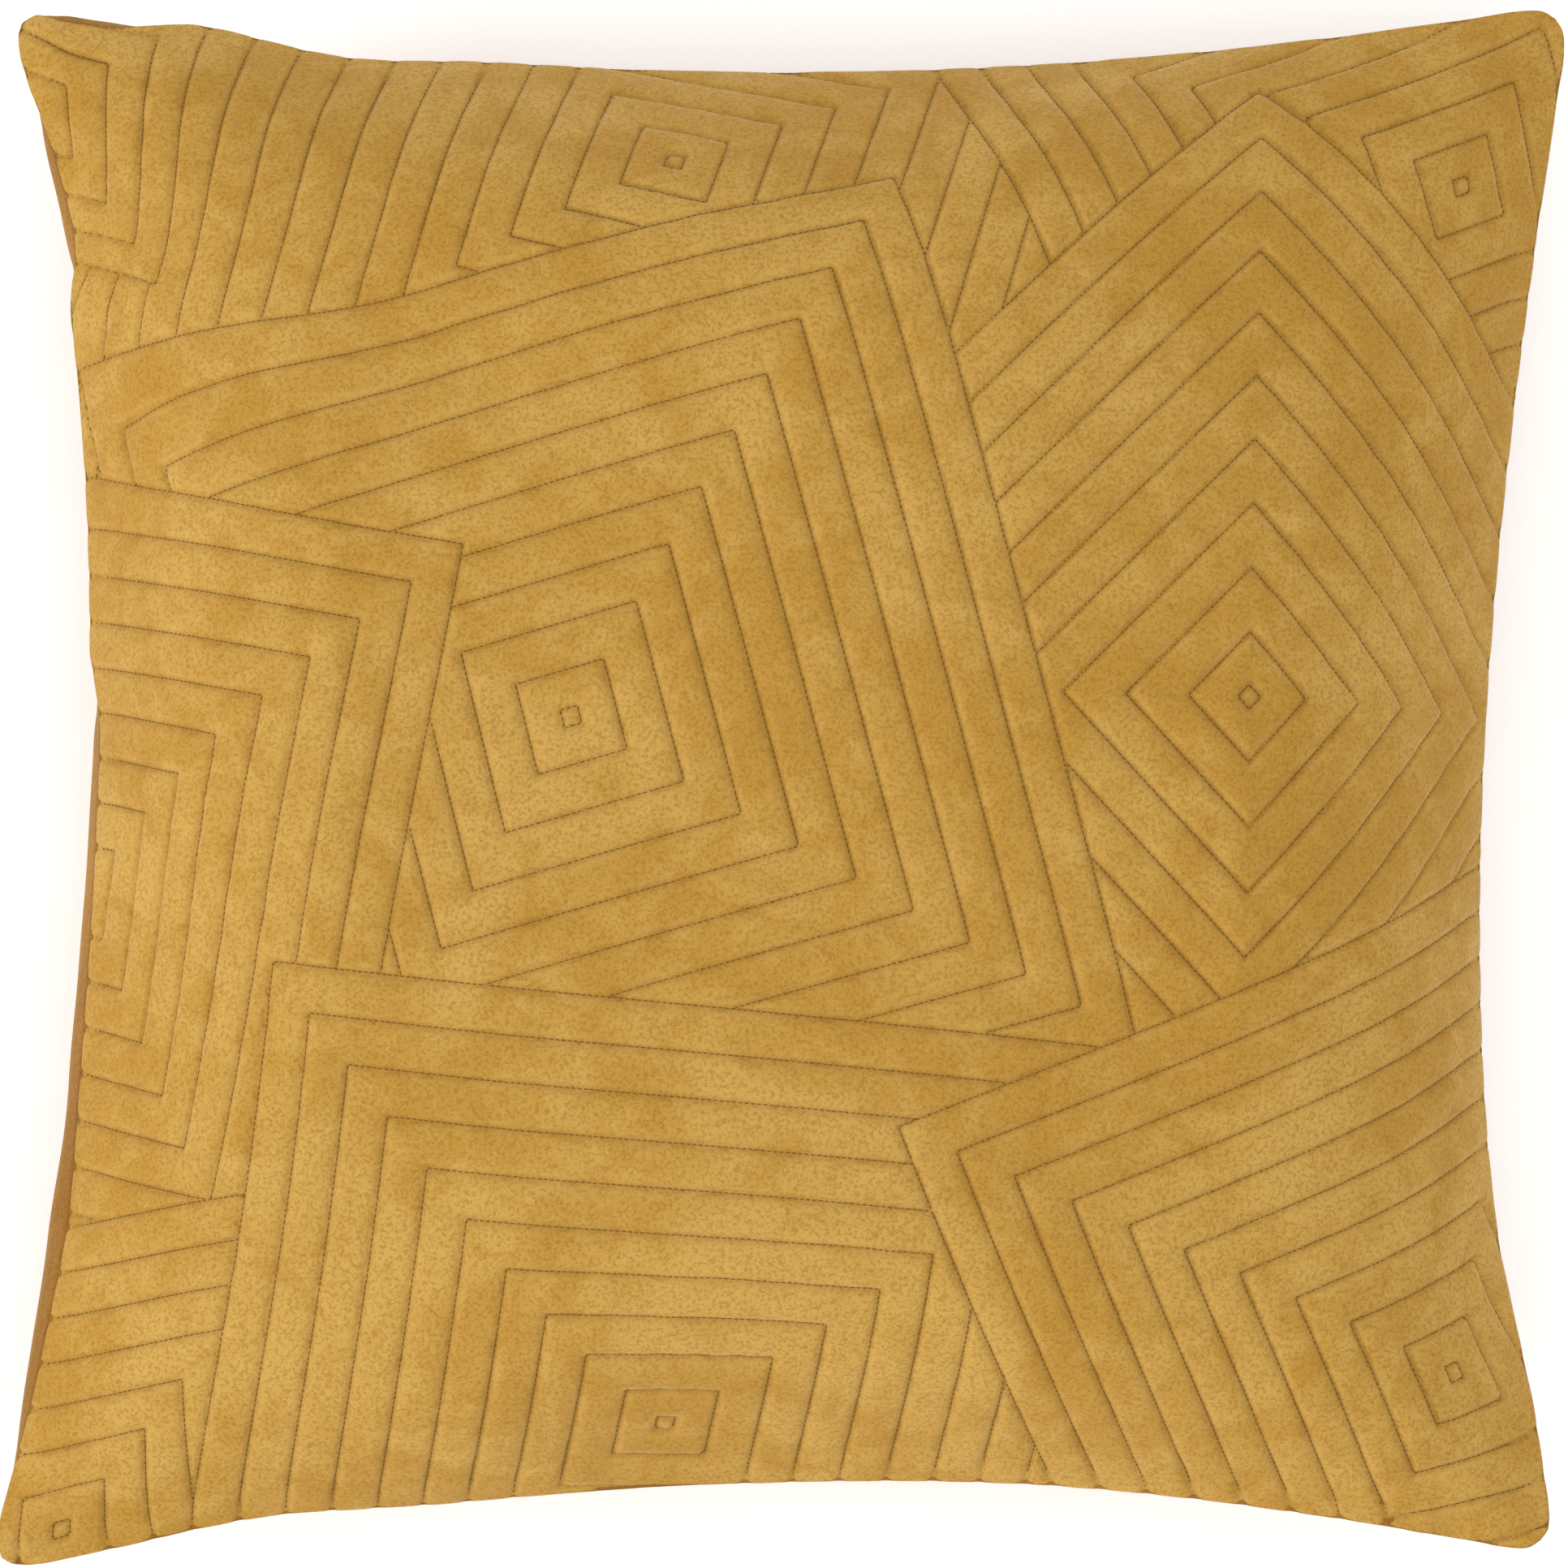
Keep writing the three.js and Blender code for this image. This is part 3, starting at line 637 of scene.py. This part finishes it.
def one_stitch(length, width, height, sides=5, bands=3):
    """A single stitch: a closed bead of thread, pointed where it dives into the cloth."""
    stitch = bmesh.new()
    lying = Matrix.Diagonal((length / 2, width / 2, height / 2, 1)) @ Matrix.Rotation(math.pi / 2, 4, "Y")
    bmesh.ops.create_uvsphere(stitch, u_segments=sides, v_segments=bands, radius=1, matrix=lying)
    return stitch


def unit(vectors):
    return vectors / np.linalg.norm(vectors, axis=1, keepdims=True)


def sewn_along(lattice, side, x, y, dx, dy, lift):
    """Where stitches lie on the cover, which way they run and which way they face."""
    ahead = on_cloth(lattice, x + dx * MM, y + dy * MM) - on_cloth(lattice, x - dx * MM, y - dy * MM)
    facing = cloth_normal(lattice, x, y, side)
    along = unit(ahead)
    facing = unit(facing - (facing * along).sum(axis=1, keepdims=True) * along)
    return on_cloth(lattice, x, y) + facing * lift[:, None], along, facing


stitch_x, stitch_y, stitch_dx, stitch_dy = [], [], [], []
for number, motif in enumerate(MOTIFS):
    turn = math.radians(motif[2])
    for ring in range(motif[3] + 1):
        half = motif[4] * ring or HEART
        count = max(2, round(2 * half / STITCH_PITCH))
        run = (np.arange(count) + 0.5) * (2 * half / count) - half
        for quarter in range(4):
            a = turn + quarter * math.pi / 2
            c, s = math.cos(a), math.sin(a)
            x, y = motif[0] + c * half - s * run, motif[1] + s * half + c * run
            seen = abs(x) < CUT / 2 - 2.5 * MM
            for upper in MOTIFS[:number]:
                u, v = in_motif(upper, x, y)[1]
                seen &= np.maximum(abs(u), abs(v)) > upper[3] * upper[4] + 0.3 * MM
            sewn_y = y
            for _ in range(8):
                sewn_y = y + drawn_up(x, sewn_y)
            y = sewn_y
            seen &= from_seam(x, y) > 2.5 * MM
            for kept, value in zip((stitch_x, stitch_y, stitch_dx, stitch_dy), (x, y, -s + 0 * x, c + 0 * x)):
                kept.append(value[seen])
stitch_x, stitch_y, stitch_dx, stitch_dy = map(np.concatenate, (stitch_x, stitch_y, stitch_dx, stitch_dy))
stitch_lift = quilted_rise(stitch_x, stitch_y) + 0.2 * MM
thread_places = sewn_along(front_lattice, 1, stitch_x, stitch_y, stitch_dx, stitch_dy, stitch_lift)
quilting_thread = laid_copies("quilting_thread", one_stitch(1.35 * MM, THREAD, 0.42 * MM), *thread_places)


def thread_material(name, color, pale):
    """Twisted thread: fine slanting ply across it, a little shinier than the velvet."""
    material, tree, place, shader = surface(name, Specular_IOR_Level=0.3, Sheen_Weight=0.1)
    ply = node(tree, "TexWave", {"bands_direction": "DIAGONAL"}, Vector=place, Scale=900.0, Distortion=1.0)
    uneven = node(tree, "TexNoise", Vector=place, Scale=140.0, Detail=3.0)
    tone = mixed(tree, uneven.outputs["Fac"], (*color, 1), (*pale, 1))
    tone = mixed(tree, 0.3, tone, ply.outputs["Color"], "SOFT_LIGHT")
    plug(tree, shader, tone, ramped(tree, ply.outputs["Fac"], 0, 1, 0.5, 0.68), ply.outputs["Fac"],
         0.4, 0.0001)
    return material


quilting_thread.data.materials.append(
    thread_material("quilting_thread", (0.12, 0.056, 0.008), (0.3, 0.16, 0.03))
)
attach(quilting_thread, "cushion")

# ------------------------------------------------------------------ back velvet
# One plain square of the same velvet, unquilted. Its colours are the front's darkened with painted shade, for
# the shade it lies in. It wraps a little way round to the front along the left side.

BACK_STEPS = 200


def plain_rise(x, y):
    """The back's own slight unevenness, none where it lies on the floor or at the seam."""
    return (0.35 * MM * ripple(x, y, 42 * MM, 11) * np.clip(from_seam(x, y) / (14 * MM), 0, 1)
            * (from_seam(x, y) < 90 * MM))


back_velvet = cloth_panel("back_velvet_plain", back_lattice, -1, BACK_STEPS, 0, plain_rise, VELVET)
# The back's colours are darker than the front's only as painted shade.
back_velvet.data.materials.append(
    velvet("back_velvet", ((0.29, 0.125, 0.016), (0.36, 0.17, 0.028), (0.17, 0.066, 0.007)), 0.45,
           Sheen_Weight=0.25, Sheen_Roughness=0.5, Sheen_Tint=(1, 0.8, 0.5, 1), Specular_IOR_Level=0.15)
)
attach(back_velvet, "cushion")
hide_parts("back_velvet")

# ------------------------------------------------------------------ wadding and backing cloth
# Polyester wadding lies under the whole front and gives the quilting its loft. A thin cotton backing keeps
# it in. The quilting stitches go through both, and both end a little inside the seam.


def fibre_material(name, color, shade, scale, bump):
    """Soft tangled fibre, paler where it is loose and greyer in its hollows."""
    material, tree, place, shader = surface(name, Sheen_Weight=0.3, Specular_IOR_Level=0.1)
    clumps = node(tree, "TexNoise", Vector=place, Scale=scale, Detail=6.0, Roughness=0.65, Distortion=0.9)
    strands = node(tree, "TexVoronoi", {"feature": "DISTANCE_TO_EDGE"}, Vector=place, Scale=scale * 7)
    tone = mixed(tree, ramped(tree, clumps.outputs["Fac"], 0.35, 0.65), (*shade, 1), (*color, 1))
    tone = mixed(tree, ramped(tree, strands.outputs["Distance"], 0.0, 0.12, 0.35, 0.0), tone, (*shade, 1))
    plug(tree, shader, tone, ramped(tree, clumps.outputs["Fac"], 0.2, 0.8, 0.95, 0.8),
         clumps.outputs["Fac"], 0.7, bump)
    return material


# Weave: warp and weft threads cross over and under, so each crossing is a small bump.
weave, weave_in, weave_out = node_group(
    "plain_weave",
    [("Vector", "Vector", None), ("Warp", "Color", None), ("Weft", "Color", None), ("Count", "Float", 600.0)],
    [("Color", "Color"), ("Roughness", "Float"), ("Height", "Float")],
)
warp = node(weave, "TexWave", {"bands_direction": "X"}, Vector=weave_in["Vector"],
            Scale=weave_in["Count"], Distortion=0.4)
weft = node(weave, "TexWave", {"bands_direction": "Y"}, Vector=weave_in["Vector"],
            Scale=weave_in["Count"], Distortion=0.4)
over = node(weave, "Math", {"operation": "MAXIMUM"}, _0=warp.outputs["Fac"], _1=weft.outputs["Fac"])
slubs = node(weave, "TexNoise", Vector=weave_in["Vector"], Scale=90.0, Detail=4.0)
woven = mixed(weave, ramped(weave, warp.outputs["Fac"], 0.3, 0.7), weave_in["Weft"], weave_in["Warp"])
woven = mixed(weave, 0.35, woven, slubs.outputs["Color"], "SOFT_LIGHT")
weave.links.new(woven, weave_out["Color"])
weave.links.new(ramped(weave, over.outputs[0], 0, 1, 0.95, 0.7), weave_out["Roughness"])
weave.links.new(over.outputs[0], weave_out["Height"])


def woven_material(name, warp_color, weft_color, count, map_name=None, turn=0.0, **values):
    """A woven cloth whose threads follow its own cloth map, or its place."""
    material, tree, place, shader = surface(name, Specular_IOR_Level=0.2, **values)
    if map_name:
        place = node(tree, "UVMap", {"uv_map": map_name}).outputs["UV"]
    lined_up = node(tree, "Mapping", Vector=place, Rotation=(turn, 0, 0))
    pattern = tree.nodes.new("ShaderNodeGroup")
    pattern.node_tree = weave
    tree.links.new(lined_up.outputs[0], pattern.inputs["Vector"])
    pattern.inputs["Warp"].default_value = (*warp_color, 1)
    pattern.inputs["Weft"].default_value = (*weft_color, 1)
    pattern.inputs["Count"].default_value = count
    plug(tree, shader, *(pattern.outputs[k] for k in ("Color", "Roughness", "Height")),
         strength=0.6, distance=0.0002)
    return material


HIDDEN_STEPS = 60
wadding = cloth_panel("wadding", front_lattice, 1, HIDDEN_STEPS, 8 * MM, 2.3 * MM, 8.3 * MM)
wadding.data.materials.append(
    fibre_material("wadding", (0.84, 0.83, 0.79), (0.66, 0.65, 0.61), 130.0, 0.0008)
)
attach(wadding, "cushion")
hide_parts("front_wadding")

backing = cloth_panel("backing_cloth", front_lattice, 1, HIDDEN_STEPS, 9 * MM, 8.6 * MM, 9.6 * MM)
backing.data.materials.append(
    woven_material("backing_cloth", (0.72, 0.69, 0.61), (0.64, 0.6, 0.52), 300.0, "cloth")
)
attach(backing, "cushion")
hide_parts("front_backing_cloth")

# ------------------------------------------------------------------ insert
# A separate cushion of white cotton ticking stuffed with polyester fibre. Its two squares are sewn together
# all round, and it fills the cover but for a little room along the sides.

INSERT_WIDTH = 0.9        # share of the cover's width that it takes up
UNDER_QUILTING = 11.3 * MM
ON_BACK = 3.2 * MM
TICKING = 1 * MM


def inside_cover(lattice, height, room):
    """The insert's own shape: the cover's, drawn in on all sides."""
    smaller = lattice.copy()
    smaller[..., :2] *= INSERT_WIDTH
    smaller[..., 2] = SEAM_HEIGHT + (lattice[..., 2] - SEAM_HEIGHT) * (height - room) / height
    for edge in (smaller[0], smaller[-1], smaller[:, 0], smaller[:, -1]):
        edge[:, 2] = SEAM_HEIGHT
    return smaller


insert_halves = (
    ("front", inside_cover(front_lattice, CROWN, UNDER_QUILTING), 1, "insert_filling"),
    ("back", inside_cover(back_lattice, SEAM_HEIGHT, ON_BACK), -1, "back_velvet_plain"),
)
ticking = woven_material("ticking", (0.82, 0.8, 0.74), (0.74, 0.72, 0.66), 420.0, "cloth")
for half_name, lattice, side, under in insert_halves:
    cover = cloth_panel(f"insert_{half_name}_ticking", lattice, side, HIDDEN_STEPS, 0, 0, TICKING)
    cover.data.materials.append(ticking)
    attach(cover, "cushion")
    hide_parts(f"insert_{half_name}_cover")

filling_bag = bmesh.new()
bmesh.ops.create_grid(filling_bag, x_segments=HIDDEN_STEPS, y_segments=HIDDEN_STEPS, size=CUT / 2)
bmesh.ops.create_grid(
    filling_bag, x_segments=HIDDEN_STEPS, y_segments=HIDDEN_STEPS, size=CUT / 2,
        matrix=Matrix.Translation((0, 0, -1))
)
filling_flat = np.array([v.co for v in filling_bag.verts])
for (_, lattice, side, _), mine in zip(insert_halves, (filling_flat[:, 2] > -0.5, filling_flat[:, 2] < -0.5)):
    x, y = filling_flat[mine, :2].T
    share = np.clip(from_seam(x, y) / (20 * MM), 0, 1)
    inward = (TICKING + 0.3 * MM + 0.5 * MM * (1 + ripple(x, y, 30 * MM, 21))) * share
    x, y = x * (1 - 5 * MM / CUT), y * (1 - 5 * MM / CUT)
    places = on_cloth(lattice, x, y) - cloth_normal(lattice, x, y, side) * inward[:, None]
    places[share == 0, 2] = SEAM_HEIGHT
    for v, co in zip((v for v, m in zip(filling_bag.verts, mine) if m), places):
        v.co = co
bmesh.ops.remove_doubles(filling_bag, verts=filling_bag.verts[:], dist=0.05 * MM)
bmesh.ops.recalc_face_normals(filling_bag, faces=filling_bag.faces[:])
for f in filling_bag.faces:
    f.smooth = True
filling = bpy.data.objects.new("filling", bpy.data.meshes.new("filling"))
filling_bag.to_mesh(filling.data)
filling_bag.free()
bpy.context.scene.collection.objects.link(filling)
filling.data.materials.append(fibre_material("filling", (0.88, 0.88, 0.86), (0.72, 0.72, 0.7), 60.0, 0.002))
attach(filling, "cushion")
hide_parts("insert_filling")

# ------------------------------------------------------------------ seam stitching
# The front and back are sewn together with a lock stitch in matching thread on three sides and at both ends
# of the lower side. The stitches show as short beads between the two edges of velvet.

SEAM_PITCH = 2.8 * MM
count = round(CUT / SEAM_PITCH)
run = (np.arange(count) + 0.5) * CUT / count - CUT / 2
level, edge_at = 0 * run, 0 * run + CUT / 2 - 0.5 * MM
closed = abs(run) > 214 * MM
seam_runs = (
    (run, edge_at, 1 + level, level), (-edge_at, run, level, 1 + level), (edge_at, run, level, 1 + level),
    (run[closed], -edge_at[closed], 1 + level[closed], level[closed]),
)
seam_x, seam_y, seam_dx, seam_dy = (np.concatenate([part[k] for part in seam_runs]) for k in range(4))
front_side = sewn_along(front_lattice, 1, seam_x, seam_y, seam_dx, seam_dy, 0.1 * MM + 0 * seam_x)
outward = unit(front_side[2] + cloth_normal(back_lattice, seam_x, seam_y, -1))
outward = unit(outward - (outward * front_side[1]).sum(axis=1, keepdims=True) * front_side[1])
seam_thread = laid_copies(
    "seam_stitching", one_stitch(2.3 * MM, 0.6 * MM, 0.6 * MM, 6, 5),
    front_side[0] + outward * -0.15 * MM, front_side[1], outward
)
seam_thread.data.materials.append(thread_material("seam_thread", (0.24, 0.11, 0.012), (0.4, 0.21, 0.04)))
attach(seam_thread, "cushion")
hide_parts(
    *(f"seam_thread_{part}" for part in ("top", "left", "right", "bottom_right", "bottom_left"))
)

# ------------------------------------------------------------------ zip
# A nylon coil zip is sewn between the two lips of the lower side. Each half is a woven tape with a coil of
# monofilament along its edge; a brass slider with a pull closes it, and small stops end it.

COIL_PITCH = 1.3 * MM
COIL_DEPTH = 1.3 * MM
arc_middle = Vector(next(j["pos_m"] for j in frame["joints"] if j["name"] == "slider_run"))


def along_zip(radius, half_length, pitch, z, shift=0.0):
    """Places a pitch apart along the curved lower side, the way the zip runs and the way it faces."""
    reach = math.asin(half_length / radius)
    steps = round(2 * reach * radius / pitch)
    turn = (np.arange(steps) + 0.5 + shift) * 2 * reach / steps - reach
    turn = turn[abs(turn) < reach - 0.5 * pitch / radius]
    places = np.stack([radius * np.sin(turn), arc_middle.y + radius * np.cos(turn), z + 0 * turn], axis=1)
    run_along = np.stack([np.cos(turn), -np.sin(turn), 0 * turn], axis=1)
    return places, run_along, -np.stack([np.sin(turn), np.cos(turn), 0 * turn], axis=1)


coil_turns = []
for half_name, shift in (("front", 0.0), ("back", 0.5)):
    low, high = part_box(f"zip_coil_{half_name}")
    coil_turns.append(
        along_zip(high.y - arc_middle.y - COIL_DEPTH / 2, high.x, COIL_PITCH, (low.z + high.z) / 2, shift)
    )
zip_coil = laid_copies(
    "zip_coil", one_stitch(0.95 * MM, high.z - low.z, COIL_DEPTH, 8, 6),
    *(np.concatenate(part) for part in zip(*coil_turns))
)
coil_material, tree, place, shader = surface("zip_coil", Specular_IOR_Level=0.4)
worn = node(tree, "TexNoise", Vector=place, Scale=260.0, Detail=4.0)
coil_tone = mixed(tree, ramped(tree, worn.outputs["Fac"], 0.35, 0.65),
                  (0.36, 0.19, 0.035, 1), (0.5, 0.29, 0.07, 1))
plug(tree, shader, coil_tone, ramped(tree, worn.outputs["Fac"], 0.3, 0.7, 0.3, 0.5),
     worn.outputs["Fac"], 0.15, 0.0001)
zip_coil.data.materials.append(coil_material)
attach(zip_coil, "cushion")
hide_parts("zip_coil_front", "zip_coil_back")

tape_stitches = []
for half_name in ("front", "back"):
    low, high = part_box(f"zip_stitch_{half_name}")
    tape_stitches.append(along_zip(high.y - arc_middle.y - 0.3 * MM, high.x, 2.6 * MM, (low.z + high.z) / 2))
tape_thread = laid_copies(
    "zip_stitching", one_stitch(2.1 * MM, 0.5 * MM, 0.5 * MM, 6, 5),
    *(np.concatenate(part) for part in zip(*tape_stitches))
)
tape_thread.data.materials.append(seam_thread.data.materials[0])
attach(tape_thread, "cushion")
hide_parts("zip_stitch_front", "zip_stitch_back")

# The velvet's raw edges are turned in along both lips and sewn to the tape.
HEM_STEPS = 140
HEM_HALF = 209 * MM       # half of the hem's length
PULL_REACH = 206 * MM     # how far left the pull gets when the zip is open: the hems only meet beyond it
# The hems take the back's velvet, so they carry its painted shade too.
hem_velvet = back_velvet.data.materials[0]
for half_name, lattice, side in (("front", front_lattice, 1), ("back", back_lattice, -1)):
    hem = bmesh.new()
    bmesh.ops.create_grid(hem, x_segments=HEM_STEPS, y_segments=4, size=0.5)
    flat = np.array([v.co for v in hem.verts])
    edge_x = flat[:, 0] * 2 * HEM_HALF * CUT / (2 * HALF_SIZE.x)
    lip = on_cloth(lattice, edge_x, 0 * edge_x - CUT / 2)
    tape_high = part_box(f"zip_tape_{half_name}")[1]
    tape_y = arc_middle.y + np.sqrt((tape_high.y - arc_middle.y - 0.8 * MM) ** 2 - lip[:, 0] ** 2) - 0.4 * MM
    inwards = flat[:, 1] + 0.5
    lip[:, 1] += (tape_y - lip[:, 1]) * inwards
    lip[:, 2] += side * (0.5 * MM + 1.6 * MM * inwards)
    room_for_pull = np.where(lip[:, 0] > 0, tape_high.x + 0.5 * MM, PULL_REACH)
    past_zip = np.clip((abs(lip[:, 0]) - room_for_pull) / (4 * MM), 0, 1) * inwards
    lip[:, 2] += (SEAM_HEIGHT + side * 0.6 * MM - lip[:, 2]) * past_zip
    for v, co in zip(hem.verts, lip):
        v.co = co
    bmesh.ops.recalc_face_normals(hem, faces=hem.faces[:])
    bmesh.ops.solidify(hem, geom=hem.faces[:], thickness=0.8 * MM * side)
    bmesh.ops.recalc_face_normals(hem, faces=hem.faces[:])
    for f in hem.faces:
        f.smooth = True
    piece = bpy.data.objects.new(f"zip_hem_{half_name}", bpy.data.meshes.new(f"zip_hem_{half_name}"))
    hem.to_mesh(piece.data)
    hem.free()
    bpy.context.scene.collection.objects.link(piece)
    piece.data.materials.append(hem_velvet)
    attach(piece, "cushion")


def finished(names, material):
    """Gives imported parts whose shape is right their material."""
    for name in names:
        for place in frame["nodes"][name].material_slots:
            place.material = material


tape_material = woven_material("zip_tape", (0.40, 0.21, 0.035), (0.33, 0.165, 0.026), 900.0, turn=math.pi / 2)
finished(("zip_tape_front", "zip_tape_back"), tape_material)

# Brass: cast and tumbled, so it is a little uneven, with fine scratches and darker, duller hollows.
brass_material, tree, place, shader = surface("zip_metal", Metallic=1.0)
cast = node(tree, "TexNoise", Vector=place, Scale=320.0, Detail=5.0, Roughness=0.65)
scratches = node(tree, "TexNoise", Vector=node(tree, "Mapping", Vector=place, Scale=(1, 9, 9)).outputs[0],
                 Scale=700.0, Detail=2.0)
brass_tone = mixed(tree, ramped(tree, cast.outputs["Fac"], 0.35, 0.62),
                   (0.30, 0.2, 0.075, 1), (0.62, 0.45, 0.2, 1))
brass_rough = node(tree, "Math", {"operation": "MULTIPLY_ADD"}, _0=scratches.outputs["Fac"], _1=0.3, _2=0.18)
plug(tree, shader, brass_tone, brass_rough.outputs[0], scratches.outputs["Fac"], 0.2, 0.0001)
finished(
    ("zip_slider", "zip_pull", "zip_top_stop_front", "zip_top_stop_back", "zip_bottom_stop"), brass_material
)

# ------------------------------------------------------------------ care label
# A small blank loop of white satin ribbon, caught in the left seam on the inside of the cover.

satin = woven_material("label_satin", (0.86, 0.85, 0.82), (0.78, 0.77, 0.74), 1200.0,
                       turn=math.pi / 2, Coat_Weight=0.15)
finished(("care_label",), satin)

# ------------------------------------------------------------------ light, floor and camera
# A white table and soft daylight from a large window low on the left and towards the bottom.

floor_mesh = bmesh.new()
bmesh.ops.create_grid(floor_mesh, x_segments=8, y_segments=8, size=6)
floor = bpy.data.objects.new("floor", bpy.data.meshes.new("floor"))
floor_mesh.to_mesh(floor.data)
floor_mesh.free()
bpy.context.scene.collection.objects.link(floor)
floor_material, floor_tree, floor_place, floor_shader = surface(
    "floor_white", Roughness=0.9, Specular_IOR_Level=0.0, Emission_Color=(1, 1, 1, 1), Emission_Strength=0.3
)
floor_grain = node(floor_tree, "TexNoise", Vector=floor_place, Scale=3.0, Detail=2.0)
floor_tone = mixed(floor_tree, floor_grain.outputs["Fac"], (0.93, 0.93, 0.93, 1), (0.95, 0.95, 0.95, 1))
plug(floor_tree, floor_shader, floor_tone)
floor.data.materials.append(floor_material)

world = bpy.data.worlds.new("room")
bpy.context.scene.world = world
world.use_nodes = True
world.node_tree.nodes["Background"].inputs["Color"].default_value = (1, 0.99, 0.97, 1)
world.node_tree.nodes["Background"].inputs["Strength"].default_value = 0.76


def window(name, place, size, power, color=(1, 1, 1)):
    """A soft rectangular light that faces the middle of the cushion."""
    light = bpy.data.lights.new(name, "AREA")
    light.shape, light.size, light.energy, light.color = "SQUARE", size, power, color
    lamp = bpy.data.objects.new(name, light)
    lamp.location = place
    lamp.rotation_mode = "QUATERNION"
    lamp.rotation_quaternion = (Vector(place) - Vector((0, 0, 0.1))).to_track_quat("Z", "Y")
    bpy.context.scene.collection.objects.link(lamp)


window("window_low_left", (-4.2, -1.6, 2.2), 1.6, 95, (1, 0.99, 0.96))
window("window_above", (0.35, -0.1, 2.5), 1.5, 14)

TILT = 2.5                # degrees off straight down, towards the left and towards the bottom
DISTANCE = 4
LENS = 295
camera = bpy.data.objects.new("camera", bpy.data.cameras.new("camera"))
camera.data.lens, camera.data.sensor_width = LENS, 36
aim = Vector((0.0006, 0, SEAM_HEIGHT))
back_along = Vector((-math.sin(math.radians(TILT)), -math.sin(math.radians(TILT)), 1)).normalized()
camera.location = aim + DISTANCE * back_along
camera.rotation_mode = "QUATERNION"
across_view = Vector((0, 1, 0)).cross(back_along).normalized()
view_axes = Matrix((across_view, back_along.cross(across_view), back_along))
camera.rotation_quaternion = view_axes.transposed().to_quaternion()
bpy.context.scene.collection.objects.link(camera)
bpy.context.scene.camera = camera
bpy.context.scene.view_settings.view_transform = "Standard"
